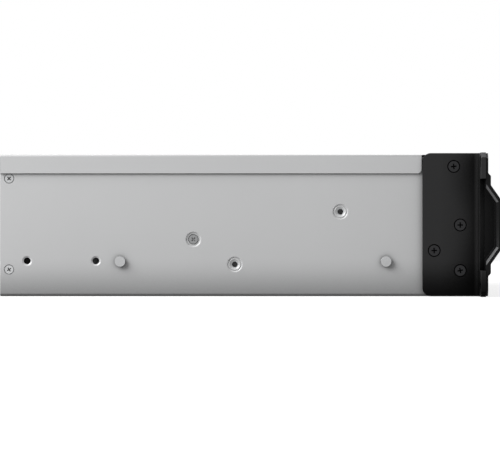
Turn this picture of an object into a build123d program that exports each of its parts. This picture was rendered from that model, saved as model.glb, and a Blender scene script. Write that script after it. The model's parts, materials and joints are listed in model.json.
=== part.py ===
from build123d import *
import os
from math import cos, radians

os.makedirs("parts", exist_ok=True)

# Rackmount storage server, two units high, short depth, eight hot-swap bays.
# Millimetres. X runs across the case, Y towards the rear, Z up. The front faces -Y.
# The origin is the centre of the four rack slots on the rear face of the ear flanges.

# Sheet-metal case
unit_height = 88.0          # two rack units, less the gap to the neighbours
case_width = 427.9          # over the side walls of the base
case_depth = 294.4          # from the ear flanges to the rear end
case_height = 87.0          # from the underside to the top of the lid
base_sheet = 1.2
base_bend = 1.8             # outside radius along the two lower edges
lid_sheet = 1.0
lid_gap = 0.3               # between the lid and what it slides over
lid_skirt = 11.4            # height of the lid's turned-down edge
lid_front = 35.0            # where the lid begins, behind the ears
lid_corner = 2.5
lid_bend = 1.0

# Ears and handles
ear_sheet = 3.0
ear_reach = 24.35           # flange width outside the bracket
ear_length = 34.4           # bracket length along the case side
ear_corner = 5.0            # rear corners of the bracket
ear_bend = 3.0
ear_tip_corner = 3.0
slot_edge_inset = 8.75      # from the ear's outer edge to the rack slots
slot_pitch = 76.2
slot_length = 10.5
slot_width = 7.0
slot_margin = 0.8           # of the moulding round a slot
finger_height = 56.0        # height of the finger recess in the flange
finger_depth = 16.6         # how far the recess reaches in from the ear's edge
moulding = 1.3              # thickness of the handle's base plate
moulding_inset = 0.5
bar = 3.0                   # thickness of the handle's bar
bar_foot_rise = 1.6
bar_foot_top = 31.4
bar_foot_chamfer = 1.8
bar_foot_length = 5.6
handle_reach = 7.9          # from the moulding's face to the front of the grip
grip_height = 30.1
web = 2.0                   # inboard wall of the handle

# Fixings seen on the case sides, as (y, z) on the side wall
ear_screw_places = [(15.3, 35.8), (11.3, -0.2), (27.3, -15.9), (11.3, -28.2)]
ear_screw_head = 7.6
rear_screw_heights = (28.4, -27.6)
rear_screw_inset = 5.6      # from the rear end
rear_screw_head = 5.9
rail_hole_height = -22.3
rail_hole_spacing = 42.3
rail_hole_inset = 16.7      # from the rear end to the first hole
rail_hole = 4.0
stud_height = -22.6
stud_front = 56.8
stud_spacing = 163.7
stud_diameter = 6.5
stud_length = 2.6
dimple_places = [(149.9, -24.4), (84.9, 8.0)]
dimple = 8.0
dimple_depth = 0.7
dimple_hole = 3.8
screw_crown = 0.2           # how far a flat head stands out of its sheet
screw_flat_count = 12       # sides of a small head, drawn with few faces
cage_screw_place = (175.4, -9.0)
cage_screw_head = 5.2
fit = 0.05                  # radial clearance round a screw or a pin

# Bays and drive cage
columns = 4
rows = 2
bay_height = 34.0
bay_gap = 1.0               # between the faces of neighbouring trays
run_gap = 0.5               # between a tray and what it slides on
cage_sheet = 0.8
cage_front = 9.0
cage_wing = 14.0            # rear extension of the outer cage walls
cage_window_width = 60.0
cage_window_length = 90.0

# Hot-swap tray
tray_face = 4.0             # how far the tray faces stand in front of the flanges
tray_wall = 8.0             # depth of the moulded face, front to hollow
tray_rim = 4.0              # depth of the rim behind it
tray_rim_wall = 1.6
tray_edge = 0.6
tray_sheet = 1.1
tray_side_gap = 0.6         # between a tray's arm and the cage wall
tray_arm_height = 20.0
tray_tail = 2.0             # of the tray's arms behind the drive
plug_room = 5.0             # from a drive to the end of the cage
tray_window_width = 66.0
tray_window_length = 110.0
latch_recess_height = 19.2
latch_recess_wall = 5.1     # from the tray's edge to the latch recess
release_width = 9.4
release_height = 12.0
release_depth = 4.0
release_proud = 0.8
release_pocket_depth = 6.0
release_edge = 4.9          # from the tray's edge to the button
latch_wall = 1.2            # between the lever's recess and the button's pocket
slide_gap = 0.4
vent_count = 2
vent_width = 31.0
vent_height = 12.0
vent_spacing = 34.0

# Latch lever
barrel = 4.6
latch_sheet = 3.0
latch_lip = 1.2
latch_lip_width = 7.0
latch_window_width = 20.0
latch_window_height = 8.0
latch_window_count = 2
latch_window_spacing = 24.0

# Drive
drive_length = 147.0
drive_height = 26.1
drive_front = 16.0
drive_side_gap = 0.1
drive_corner = 3.0
drive_cover_inset = 3.0
drive_cover_depth = 0.8
plug_width = 44.0
plug_height = 6.0
plug_offset = -18.0
plug_rise = 3.0

# Front strip above the bays
strip_sheet = 1.2
strip_lip = 0.7             # from the strip to the upper tray faces
tab_drop = 12.0
tab_front = 3.0
strip_vent_count = 5
strip_vent_width = 18.0
strip_vent_height = 4.4
strip_vent_spacing = 21.0
strip_vent_share = 0.57     # of the half width, to the middle of the vents
button_width = 12.0
button_height = 7.0
button_length = 7.0
button_proud = 1.0
button_gap = 0.3
button_from_edge = 18.0
lamp_count = 8
lamp_width = 3.2
lamp_height = 1.8
lamp_spacing = 8.0
lamp_length = 12.0
lamp_proud = 0.3

# Backplane
board = 1.6
board_edge_gap = 1.0
board_window_width = 50.0
board_window_height = 12.0

# Rear panel and what it carries
panel_sheet = 1.2
panel_flange = 11.0
panel_gap = 0.1
cover_sheet = 1.0
fan_under = 2.3             # from the floor to a fan's frame
fan_over = 2.2              # from a fan's frame to the top of the case sides
fan_rim = 2.0               # of the frame round the air way
fan_depth = 25.0
fan_gap = 5.0               # between the two frames
fan_corner = 4.0
fan_hub = 34.0
fan_blades = 5
fan_motor = 22.0            # square plate that carries the motor
fan_plate = 3.0             # motor plate and struts
fan_strut = 5.0
fan_hub_gap = 0.4           # hub to motor plate
fan_air = 1.5               # rotor to frame, radially
blade_sheet = 1.6
blade_chord = 17.0
blade_tilt = 38.0
blade_end_gap = 1.5
grille_slot = 6.2
grille_pitch = 8.8
grille_edge = 2.5           # between the ends of the slots and the air way
card_slot_width = 18.4
card_slot_height = 79.2
card_slot_inset = 10.0      # from the mainboard's inner edge
card_slot_hole = 15.0
card_slot_hole_height = 70.0
card_vent_count = 9
card_vent_height = 4.0
card_vent_spacing = 7.0
card_vent_width = 10.0
thumbscrew_inset = 22.75    # from the inside of a case wall
thumbscrew_head = 9.0
thumbscrew_length = 6.5
thumbscrew_shank = 4.0
thumbscrew_reach = 7.0

# Power supply
supply_height = 66.0
supply_front_gap = 10.3     # to the backplane
supply_wall = 1.5
supply_side_gap = 7.75
supply_fan_gap = 15.0       # to the next case fan
supply_frame = 3.0          # rim of the opening round its rear face
supply_bore_wall = 3.0      # from the housing's side to the fan's bore
supply_bore_depth = 20.0
supply_hub = 26.0
supply_blades = 5
inlet_edge = 3.5            # from the housing's side to the inlet
inlet_bore_gap = 2.5
inlet_width = 27.0
inlet_height = 20.0
inlet_wall = 2.0
inlet_depth = 18.0
inlet_corner = 4.0
inlet_pin_drop = 2.0
inlet_pin_width = 4.0
inlet_pin_height = 2.0
inlet_pin_spacing = 7.0

# Mainboard and ports
board_share = 0.6087        # of the width that the fans leave over
board_front_gap = 8.2       # to the backplane
board_fan_gap = 5.0
board_lift = 6.8
board_side_gap = 2.75
standoff = 6.0
standoff_inset = 6.0
standoff_depth = 17.0       # from the board's front and rear edges
socket_height = 15.5
socket_count = 4
socket_depth = 21.0
socket_wall = 2.0
socket_mouth_height = 8.5
socket_mouth_depth = 13.0
socket_tab_height = 2.6
socket_floor = 1.4
port_proud = 0.6
port_gap = 0.3
usb_width = 15.0
usb_mouth_width = 12.4
usb_mouth_height = 4.8
usb_mouth_depth = 12.0
usb_tongue_width = 10.6
usb_tongue = 1.8
usb_spacing = 7.4
port_row_gap = 6.0
port_card_gap = 29.5        # from the last port to the mainboard's inner edge
video_width = 18.0
video_height = 8.0
video_mouth_width = 14.4
video_mouth_height = 4.8
sink_width = 60.0
sink_gap = 4.0              # to the ports
sink_base = 4.0
sink_height = 26.0
sink_fins = 12
sink_fin = 1.4
memory_edge = 3.35          # from the mainboard's side edges
memory_height = 31.0
memory_sheet = 3.8
memory_spacing = 10.0
memory_front = 8.0
memory_socket = 6.4
card_socket_length = 56.0
card_socket_width = 7.5
card_socket_height = 11.0

# Heights and widths that follow
case_bottom = -unit_height / 2
case_top = case_bottom + case_height
side_top = case_top - lid_sheet - lid_gap
floor_top = case_bottom + base_sheet
half_width = case_width / 2
inner_half = half_width - base_sheet
ear_outer = half_width + ear_sheet + ear_reach
slot_centre = ear_outer - slot_edge_inset
rail_holes = [
    (case_depth - rail_hole_inset, rail_hole_height),
    (case_depth - rail_hole_inset - rail_hole_spacing, rail_hole_height),
]
rear_screws = [(case_depth - rear_screw_inset, height) for height in rear_screw_heights]
studs = [(stud_front, stud_height), (stud_front + stud_spacing, stud_height)]

# Bays, counted from the left of the lower row
cage_half = inner_half
cage_rear = drive_front + drive_length + plug_room
tray_rear = drive_front + drive_length + tray_tail
latch_recess_depth = barrel + 2 * fit
bay_pitch = 2 * (cage_half - cage_sheet) / columns
bay_pitch_z = bay_height + bay_gap
bay_bottom = floor_top + run_gap
bays_top = bay_bottom + rows * bay_pitch_z - bay_gap
bay_places = [
    ((column - (columns - 1) / 2) * bay_pitch, bay_bottom + row * bay_pitch_z)
    for row in range(rows)
    for column in range(columns)
]
tray_half = bay_pitch / 2 - cage_sheet / 2 - tray_side_gap
face_half = bay_pitch / 2 - bay_gap / 2
drive_half = tray_half - tray_sheet - drive_side_gap
latch_z = bay_height / 2

# Rear: the mainboard at the left, two fans, and the power supply at the right
panel_rear = case_depth - lid_sheet - lid_gap
panel_front = panel_rear - panel_sheet
backplane_rear = cage_rear + board
fan_size = side_top - floor_top - fan_under - fan_over
fan_bore = fan_size - 2 * fan_rim
fan_height = floor_top + fan_under + fan_size / 2
fan_spacing = fan_size + fan_gap
fans_width = fan_size + fan_spacing
gaps_width = board_side_gap + board_fan_gap + supply_fan_gap + supply_side_gap
spare_width = 2 * inner_half - fans_width - gaps_width
board_width = board_share * spare_width
board_left = -inner_half + board_side_gap
board_right = board_left + board_width
board_centre = (board_left + board_right) / 2
board_rear = panel_front - cover_sheet - panel_gap
board_front = backplane_rear + board_front_gap
board_length = board_rear - board_front
board_z = floor_top + board_lift
board_top = board_z + board
card_slot_centre = board_right - card_slot_inset
fan_left = board_right + board_fan_gap + fan_size / 2
fan_centres = (fan_left, fan_left + fan_spacing)
fan_front = panel_front - fan_depth
supply_width = spare_width - board_width
supply_right = inner_half - supply_side_gap
supply_centre = supply_right - supply_width / 2
supply_length = panel_front - backplane_rear - supply_front_gap
supply_z = floor_top + supply_height / 2
supply_bore = supply_width - supply_bore_wall - inlet_bore_gap - inlet_width - inlet_edge


# Lid
lid_width = case_width + 2 * (lid_gap + lid_sheet)
lip_middle = case_top - lid_skirt / 2
thumb_offset = inner_half - thumbscrew_inset
thumb_places = [(-thumb_offset, lip_middle), (thumb_offset, lip_middle)]


def facing_front(y):
    """Plane across the case at depth y, drawn as (x, z). Extruding goes forward."""
    return Plane.XZ.offset(-y)


def facing_side(x):
    """Plane along the case at x, drawn as (y, z). Extruding goes to +X."""
    return Plane.YZ.offset(x)


def level(z):
    """Horizontal plane at height z, drawn as (x, y). Extruding goes up."""
    return Plane.XY.offset(z)


def inward(side, distance, place):
    """Plane on a case side at (y, z), facing into the case."""
    return Plane(origin=(side * distance, *place), x_dir=(0, 1, 0), z_dir=(-side, 0, 0))


FROM_BASE = (Align.CENTER, Align.CENTER, Align.MIN)


def grille_slots(bore):
    """Level slots that fill a circle, as (height, length)."""
    reach = bore / 2 - grille_edge
    count = int(reach / grille_pitch)
    heights = [index * grille_pitch for index in range(-count, count + 1)]
    return [(height, 2 * (reach**2 - height**2) ** 0.5) for height in heights]


def keep(part, name):
    """Label a finished piece and write it as its own STEP file."""
    part.label = name
    export_step(part, f"parts/{name}.step")


# Base: floor and side walls folded from one sheet
with BuildPart() as chassis_base:
    with BuildSketch(facing_front(case_depth)):
        with Locations((0, (case_bottom + side_top) / 2)):
            Rectangle(case_width, side_top - case_bottom)
        with Locations((0, (floor_top + side_top) / 2)):
            Rectangle(2 * inner_half, side_top - floor_top, mode=Mode.SUBTRACT)
    extrude(amount=case_depth)
    fillet(chassis_base.edges().filter_by(Axis.Y).group_by(Axis.Z)[0], base_bend)
    with BuildSketch(Plane.YZ):
        with Locations(*rail_holes):
            Circle(rail_hole / 2)
    extrude(amount=case_width, both=True, mode=Mode.SUBTRACT)
    for side in (-1, 1):
        with BuildSketch(facing_side(side * half_width)):
            with Locations(cage_screw_place):
                Circle(dimple / 2)
        extrude(amount=-side * dimple_depth, mode=Mode.SUBTRACT)
        with Locations(*[inward(side, half_width, place) for place in dimple_places]):
            Cone(dimple / 2, dimple_hole / 2, base_sheet, align=FROM_BASE, mode=Mode.SUBTRACT)
keep(chassis_base.part, "chassis_base")


# Lid: top, two skirts and a rear lip, held by two thumbscrews
with BuildPart() as lid:
    with BuildSketch(facing_front(case_depth)):
        with Locations((0, case_top - lid_skirt / 2)):
            Rectangle(lid_width, lid_skirt)
    extrude(amount=case_depth - lid_front)
    fillet(lid.edges().filter_by(Axis.Y).group_by(Axis.Z)[-1], lid_bend)
    with BuildSketch(facing_front(case_depth)):
        with Locations((0, case_top - lid_sheet - lid_skirt / 2)):
            Rectangle(lid_width - 2 * lid_sheet, lid_skirt)
    extrude(amount=case_depth, mode=Mode.SUBTRACT)
    with BuildSketch(facing_front(case_depth)):
        with Locations((0, lip_middle)):
            Rectangle(2 * (inner_half - lid_gap), lid_skirt)
    extrude(amount=lid_sheet)
    with BuildSketch(facing_front(case_depth)):
        with Locations(*thumb_places):
            Circle(thumbscrew_shank / 2 + fit)
    extrude(amount=lid_sheet, mode=Mode.SUBTRACT)
    lid_corners = lid.edges().filter_by(Axis.X).group_by(Axis.Y)[0].group_by(Axis.Z)[0]
    fillet(lid_corners, lid_corner)
keep(lid.part, "lid")


def thumbscrew(x):
    """A captive screw with a grip, entered from behind through the lid's rear lip."""
    with BuildPart() as screw:
        with BuildSketch(facing_front(case_depth + thumbscrew_length)):
            with Locations((x, lip_middle)):
                Circle(thumbscrew_head / 2)
        extrude(amount=thumbscrew_length)
        with BuildSketch(facing_front(case_depth)):
            with Locations((x, lip_middle)):
                Circle(thumbscrew_shank / 2)
        extrude(amount=thumbscrew_reach)
    return screw.part


keep(thumbscrew(-thumb_offset), "lid_thumbscrew_left")
keep(thumbscrew(thumb_offset), "lid_thumbscrew_right")


# Ears: a bracket on each case side, folded out into the rack flange
with BuildPart() as ear_left:
    with BuildSketch(level(case_bottom)):
        with BuildLine():
            Polyline(
                (-half_width, ear_length),
                (-half_width, -ear_sheet),
                (-ear_outer, -ear_sheet),
                (-ear_outer, 0),
                (-half_width - ear_sheet, 0),
                (-half_width - ear_sheet, ear_length),
                close=True,
            )
        make_face()
    extrude(amount=unit_height)
    bend = ear_left.edges().filter_by(Axis.Z).sort_by_distance((-half_width - ear_sheet, 0, 0))[0]
    fillet(bend, ear_bend)
    fillet(ear_left.faces().sort_by(Axis.Y)[-1].edges().filter_by(Axis.X), ear_corner)
    chamfer(ear_left.faces().sort_by(Axis.X)[0].edges().filter_by(Axis.Y), ear_tip_corner)
    with BuildSketch(Plane.XZ):
        with Locations((-ear_outer, 0)):
            Rectangle(2 * finger_depth, finger_height)
        with Locations((-slot_centre, -slot_pitch / 2), (-slot_centre, slot_pitch / 2)):
            SlotOverall(slot_length, slot_width)
    extrude(amount=ear_sheet, both=True, mode=Mode.SUBTRACT)
keep(ear_left.part, "ear_left")
keep(ear_left.part.mirror(Plane.YZ), "ear_right")


# Handles: a moulded plate on the flange with a trapezoid bar, open to the outer side
plate_face = -ear_sheet - moulding
foot_face = plate_face - bar_foot_rise
grip_face = plate_face - handle_reach
foot_front_top = bar_foot_top - bar_foot_chamfer
foot_bottom = foot_front_top - bar_foot_length
slant_rise = foot_bottom - grip_height / 2
slant_run = foot_face - grip_face
slant_length = (slant_rise**2 + slant_run**2) ** 0.5
inner_grip = (grip_height / 2) - bar * (slant_length - slant_run) / slant_rise
inner_slope = slant_rise / slant_run
inner_foot = inner_grip + (-ear_sheet - grip_face - bar) * inner_slope
handle_outer = ear_outer - moulding_inset
handle_inner = ear_outer - finger_depth - web
with BuildPart() as handle_left:
    with BuildSketch(facing_front(-ear_sheet)):
        with Locations((-(handle_outer + half_width) / 2, 0)):
            Rectangle(handle_outer - half_width, unit_height - 2 * moulding_inset)
    extrude(amount=moulding)
    chamfer(handle_left.edges().filter_by(Axis.Y), ear_tip_corner)
    with BuildSketch(facing_side(-handle_outer)):
        with BuildLine():
            Polyline(
                (-ear_sheet, bar_foot_top),
                (plate_face, bar_foot_top),
                (foot_face, foot_front_top),
                (foot_face, foot_bottom),
                (grip_face, grip_height / 2),
                (grip_face, -grip_height / 2),
                (foot_face, -foot_bottom),
                (foot_face, -foot_front_top),
                (plate_face, -bar_foot_top),
                (-ear_sheet, -bar_foot_top),
                close=True,
            )
        make_face()
    extrude(amount=handle_outer - handle_inner)
    with BuildSketch(facing_side(-handle_outer)):
        with BuildLine():
            Polyline(
                (-ear_sheet, inner_foot),
                (grip_face + bar, inner_grip),
                (grip_face + bar, -inner_grip),
                (-ear_sheet, -inner_foot),
                close=True,
            )
        make_face()
    extrude(amount=handle_outer - handle_inner - web, mode=Mode.SUBTRACT)
    with BuildSketch(facing_front(-ear_sheet)):
        with Locations((-slot_centre, -slot_pitch / 2), (-slot_centre, slot_pitch / 2)):
            Rectangle(slot_length + 2 * slot_margin, slot_width + 2 * slot_margin)
    extrude(amount=handle_reach, mode=Mode.SUBTRACT)
keep(handle_left.part, "handle_left")
keep(handle_left.part.mirror(Plane.YZ), "handle_right")


# Flat-head screws of the ears, each head on its bracket
with BuildPart() as ear_screws:
    for side in (-1, 1):
        with BuildSketch(facing_side(side * (half_width + ear_sheet))):
            with Locations(*ear_screw_places):
                RegularPolygon(ear_screw_head / 2, screw_flat_count)
        extrude(amount=side * screw_crown)
keep(ear_screws.part, "ear_screws")

# Screws of the case: four over the rear panel's flanges, two in dimples over the drive cage
with BuildPart() as chassis_screws:
    for side in (-1, 1):
        with BuildSketch(facing_side(side * half_width)):
            with Locations(*rear_screws):
                RegularPolygon(rear_screw_head / 2, screw_flat_count)
        extrude(amount=side * screw_crown)
        with BuildSketch(facing_side(side * (half_width - dimple_depth))):
            with Locations(cage_screw_place):
                RegularPolygon(cage_screw_head / 2, screw_flat_count)
        extrude(amount=side * dimple_depth)
keep(chassis_screws.part, "chassis_screws")

# Studs that hook into the rack rails
with BuildPart() as rail_studs:
    for side in (-1, 1):
        with BuildSketch(facing_side(side * half_width)):
            with Locations(*studs):
                Circle(stud_diameter / 2)
        extrude(amount=side * stud_length)
keep(rail_studs.part, "rail_studs")


# Drive cage: walls between the columns, a shelf between the rows and a top
cage_top = bays_top + bay_gap / 2
wall_places = [(index - columns / 2) * bay_pitch for index in range(1, columns)]
with BuildPart() as drive_cage:
    with BuildSketch(facing_front(cage_rear)):
        with Locations((0, (floor_top + cage_top + cage_sheet) / 2)):
            Rectangle(2 * cage_half, cage_top + cage_sheet - floor_top)
        for row in range(rows):
            cell_bottom = bay_bottom + row * bay_pitch_z - run_gap
            cell_top = cage_top if row == rows - 1 else cell_bottom + bay_pitch_z - cage_sheet
            for column in range(columns):
                middle = (column - (columns - 1) / 2) * bay_pitch
                left = -cage_half + cage_sheet if column == 0 else middle - bay_pitch / 2 + cage_sheet / 2
                right = cage_half - cage_sheet if column == columns - 1 else middle + bay_pitch / 2 - cage_sheet / 2
                with Locations(((left + right) / 2, (cell_bottom + cell_top) / 2)):
                    Rectangle(right - left, cell_top - cell_bottom, mode=Mode.SUBTRACT)
    extrude(amount=cage_rear - cage_front)
    for side in (-1, 1):
        with BuildSketch(facing_front(cage_rear + cage_wing)):
            with Locations((side * (cage_half - cage_sheet / 2), (floor_top + cage_top + cage_sheet) / 2)):
                Rectangle(cage_sheet, cage_top + cage_sheet - floor_top)
        extrude(amount=cage_wing)
    with BuildSketch(level(cage_top)):
        with Locations(*[(x, (cage_front + cage_rear) / 2) for x, z in bay_places[:columns]]):
            Rectangle(cage_window_width, cage_window_length)
    extrude(amount=cage_sheet, mode=Mode.SUBTRACT)
keep(drive_cage.part, "drive_cage")


# Front strip: fascia above the bays and the fixed part of the top, from one sheet
strip_bottom = bays_top + strip_lip
strip_front = -tray_face
strip_middle = (strip_bottom + case_top) / 2
button_x = half_width - button_from_edge
with BuildPart() as front_frame:
    with BuildSketch(facing_side(-half_width)):
        with BuildLine():
            Polyline(
                (strip_front, strip_bottom),
                (strip_front + strip_sheet, strip_bottom),
                (strip_front + strip_sheet, case_top - lid_sheet),
                (ear_length, case_top - lid_sheet),
                (ear_length, case_top),
                (strip_front, case_top),
                close=True,
            )
        make_face()
    extrude(amount=case_width)
    for side in (-1, 1):
        with BuildSketch(facing_side(side * inner_half)):
            with Locations(((tab_front + ear_length) / 2, case_top - lid_sheet - tab_drop / 2)):
                Rectangle(ear_length - tab_front, tab_drop)
        extrude(amount=-side * lid_sheet)
    with BuildSketch(facing_front(strip_front + strip_sheet)):
        for side in (-1, 1):
            with Locations((side * strip_vent_share * half_width, strip_middle)):
                with GridLocations(strip_vent_spacing, 1, strip_vent_count, 1):
                    Rectangle(strip_vent_width, strip_vent_height)
        with Locations((0, strip_middle)):
            with GridLocations(lamp_spacing, 1, lamp_count, 1):
                Rectangle(lamp_width + 2 * fit, lamp_height + 2 * fit)
        with Locations((button_x, strip_middle)):
            Rectangle(button_width + 2 * button_gap, button_height + 2 * button_gap)
    extrude(amount=strip_sheet, mode=Mode.SUBTRACT)
keep(front_frame.part, "front_frame")

# Light pipes behind the strip's small windows
with BuildPart() as light_pipes:
    with BuildSketch(facing_front(strip_front + lamp_length)):
        with Locations((0, strip_middle)):
            with GridLocations(lamp_spacing, 1, lamp_count, 1):
                Rectangle(lamp_width, lamp_height)
    extrude(amount=lamp_length + lamp_proud)
    with BuildSketch(facing_front(strip_front + lamp_length)):
        with Locations((0, strip_middle)):
            Rectangle(lamp_spacing * lamp_count, 2 * lamp_height)
    extrude(amount=lamp_height)
keep(light_pipes.part, "light_pipes")

# Power button: an oblong cap in the strip
with BuildPart() as power_button:
    with BuildSketch(facing_front(strip_front - button_proud + button_length)):
        with Locations((button_x, strip_middle)):
            Rectangle(button_width, button_height)
    extrude(amount=button_length)
    chamfer(power_button.faces().sort_by(Axis.Y)[0].edges(), tray_edge)
keep(power_button.part, "power_button")


# Hot-swap tray, in its own frame: x from its middle, z from its lower edge
face_front = -tray_face
recess_left = -face_half + latch_recess_wall
release_right = face_half - release_edge
release_left = release_right - release_width
recess_right = release_left - slide_gap - latch_wall
pivot_x = recess_left + barrel / 2 + fit
pivot_y = face_front + barrel / 2
recess_back = face_front + latch_recess_depth
with BuildPart() as tray:
    with BuildSketch(facing_front(face_front + tray_wall + tray_rim)):
        with Locations((0, bay_height / 2)):
            Rectangle(2 * face_half, bay_height)
    extrude(amount=tray_wall + tray_rim)
    chamfer(tray.faces().sort_by(Axis.Y)[0].edges(), tray_edge)
    with BuildSketch(facing_front(face_front + tray_wall + tray_rim)):
        with Locations((0, bay_height / 2)):
            Rectangle(2 * (face_half - tray_rim_wall), bay_height - 2 * tray_rim_wall)
    extrude(amount=tray_rim, mode=Mode.SUBTRACT)
    with BuildSketch(facing_front(recess_back)):
        with Locations(((recess_left + recess_right) / 2, latch_z)):
            Rectangle(recess_right - recess_left, latch_recess_height)
    extrude(amount=latch_recess_depth, mode=Mode.SUBTRACT)
    with BuildSketch(facing_front(face_front + release_pocket_depth)):
        with Locations(((release_left + release_right) / 2, latch_z)):
            Rectangle(release_width + 2 * slide_gap, release_height + 2 * slide_gap)
    extrude(amount=release_pocket_depth, mode=Mode.SUBTRACT)
    with BuildSketch(facing_front(face_front + tray_wall)):
        with Locations(((recess_left + recess_right) / 2 + barrel, latch_z)):
            with GridLocations(vent_spacing, 1, vent_count, 1):
                Rectangle(vent_width, vent_height)
    extrude(amount=tray_wall, mode=Mode.SUBTRACT)
    with BuildSketch(facing_front(tray_rear)):
        with Locations((0, tray_arm_height / 2)):
            Rectangle(2 * tray_half, tray_arm_height)
        with Locations((0, tray_sheet + tray_arm_height / 2)):
            Rectangle(2 * (tray_half - tray_sheet), tray_arm_height, mode=Mode.SUBTRACT)
    extrude(amount=tray_rear - face_front - tray_wall)
    with BuildSketch(Plane.XY):
        with Locations((0, drive_front + drive_length / 2)):
            Rectangle(tray_window_width, tray_window_length)
    extrude(amount=tray_sheet, mode=Mode.SUBTRACT)

# Latch lever, whose barrel turns in the left end of the recess
lever_half = latch_recess_height / 2 - slide_gap
lever_end = recess_right - slide_gap
with BuildPart() as latch:
    with BuildSketch(level(latch_z - lever_half)):
        with Locations((pivot_x, pivot_y)):
            Circle(barrel / 2)
        with BuildLine():
            Polyline(
                (pivot_x, face_front),
                (lever_end, face_front),
                (lever_end, face_front + latch_sheet + latch_lip),
                (lever_end - latch_lip, face_front + latch_sheet + latch_lip),
                (lever_end - latch_lip_width, face_front + latch_sheet),
                (pivot_x, face_front + latch_sheet),
                close=True,
            )
        make_face()
    extrude(amount=2 * lever_half)
    with BuildSketch(facing_front(recess_back)):
        with Locations(((pivot_x + lever_end) / 2, latch_z)):
            with GridLocations(latch_window_spacing, 1, latch_window_count, 1):
                Rectangle(latch_window_width, latch_window_height)
    extrude(amount=latch_recess_depth, mode=Mode.SUBTRACT)

# Release button beside the lever
with BuildPart() as release:
    with BuildSketch(facing_front(face_front - release_proud + release_depth)):
        with Locations(((release_left + release_right) / 2, latch_z)):
            Rectangle(release_width, release_height)
    extrude(amount=release_depth)
    chamfer(release.faces().sort_by(Axis.Y)[0].edges(), tray_edge)

# Drive, standing on the tray's floor between its arms
with BuildPart() as drive:
    with BuildSketch(level(tray_sheet)):
        with Locations((0, drive_front + drive_length / 2)):
            Rectangle(2 * drive_half, drive_length)
    extrude(amount=drive_height)
    chamfer(drive.edges().filter_by(Axis.Z), drive_corner)
    chamfer(drive.faces().sort_by(Axis.Z)[-1].edges(), drive_cover_depth, drive_cover_inset)

for number, (bay_x, bay_z) in enumerate(bay_places, start=1):
    bay = Location((bay_x, 0, bay_z))
    keep(tray.part.moved(bay), f"tray_{number}")
    keep(latch.part.moved(bay), f"latch_{number}")
    keep(release.part.moved(bay), f"release_{number}")
    keep(drive.part.moved(bay), f"drive_{number}")


# Backplane: a board across the cage with one plug for each drive
plug_front = drive_front + drive_length + slide_gap
with BuildPart() as backplane:
    with BuildSketch(facing_front(cage_rear + board)):
        with Locations((0, (floor_top + cage_top) / 2)):
            Rectangle(2 * (inner_half - board_edge_gap), cage_top - floor_top)
        with Locations(*[(x, z + bay_height - board_window_height) for x, z in bay_places]):
            Rectangle(board_window_width, board_window_height, mode=Mode.SUBTRACT)
    extrude(amount=board)
    with BuildSketch(facing_front(cage_rear)):
        with Locations(*[(x + plug_offset, z + plug_rise + plug_height / 2) for x, z in bay_places]):
            Rectangle(plug_width, plug_height)
    extrude(amount=cage_rear - plug_front)
keep(backplane.part, "backplane")


# Rear panel: a shallow pan that closes the back, with openings for what it carries
port_rear = panel_rear + port_proud
sockets_left = board_left + port_gap + panel_sheet
usb_left = board_right - port_card_gap - video_width - port_row_gap - usb_width
sockets_right = usb_left - port_row_gap
socket_width = (sockets_right - sockets_left) / socket_count
socket_mouth_width = socket_width - 2 * socket_wall
socket_tab_width = socket_mouth_width / 2
usb_right = usb_left + usb_width
video_left = usb_right + port_row_gap
video_right = video_left + video_width
panel_middle = (floor_top + side_top) / 2
port_spans = [
    (sockets_left, sockets_right, socket_height),
    (usb_left, usb_right, socket_height),
    (video_left, video_right, video_height),
]
bore_x = supply_right - supply_width + supply_bore_wall + supply_bore / 2
inlet_x = supply_right - inlet_edge - inlet_width / 2
with BuildPart() as rear_panel:
    with BuildSketch(facing_front(panel_rear)):
        with Locations((0, panel_middle)):
            Rectangle(2 * inner_half, side_top - floor_top)
    extrude(amount=panel_sheet + panel_flange)
    with BuildSketch(facing_front(panel_front)):
        with Locations((0, panel_middle)):
            Rectangle(2 * (inner_half - panel_sheet), side_top - floor_top - 2 * panel_sheet)
        with Locations((supply_centre, supply_z)):
            Rectangle(supply_width + 2 * port_gap, supply_height + 2 * port_gap)
    extrude(amount=panel_flange, mode=Mode.SUBTRACT)
    with BuildSketch(facing_front(panel_rear)):
        for centre in fan_centres:
            for offset, length in grille_slots(fan_bore):
                with Locations((centre, fan_height + offset)):
                    Rectangle(length, grille_slot)
        with Locations((card_slot_centre, panel_middle)):
            Rectangle(card_slot_hole, card_slot_hole_height)
        for left, right, height in port_spans:
            with Locations(((left + right) / 2, board_top + height / 2)):
                Rectangle(right - left + 2 * port_gap, height + 2 * port_gap)
        with Locations((supply_centre, supply_z)):
            Rectangle(supply_width - 2 * supply_frame, supply_height - 2 * supply_frame)
        with Locations(*thumb_places):
            Circle(thumbscrew_shank / 2 + fit)
    extrude(amount=panel_sheet, mode=Mode.SUBTRACT)
keep(rear_panel.part, "rear_panel")


# Fan frames: square ducts behind the panel, with a motor plate on four struts
with BuildPart() as fan_frames:
    with BuildSketch(facing_front(panel_front)):
        with Locations(*[(centre, fan_height) for centre in fan_centres]):
            Rectangle(fan_size, fan_size)
            Circle(fan_bore / 2, mode=Mode.SUBTRACT)
    extrude(amount=fan_depth)
    chamfer(fan_frames.edges().filter_by(Axis.Y).filter_by(GeomType.LINE), fan_corner)
    with BuildSketch(facing_front(fan_front + fan_plate)):
        with Locations(*[(centre, fan_height) for centre in fan_centres]):
            Rectangle(fan_motor, fan_motor)
            Rectangle(fan_bore + fit, fan_strut)
            Rectangle(fan_strut, fan_bore + fit)
    extrude(amount=fan_plate)
keep(fan_frames.part, "fan_frames")


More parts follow.
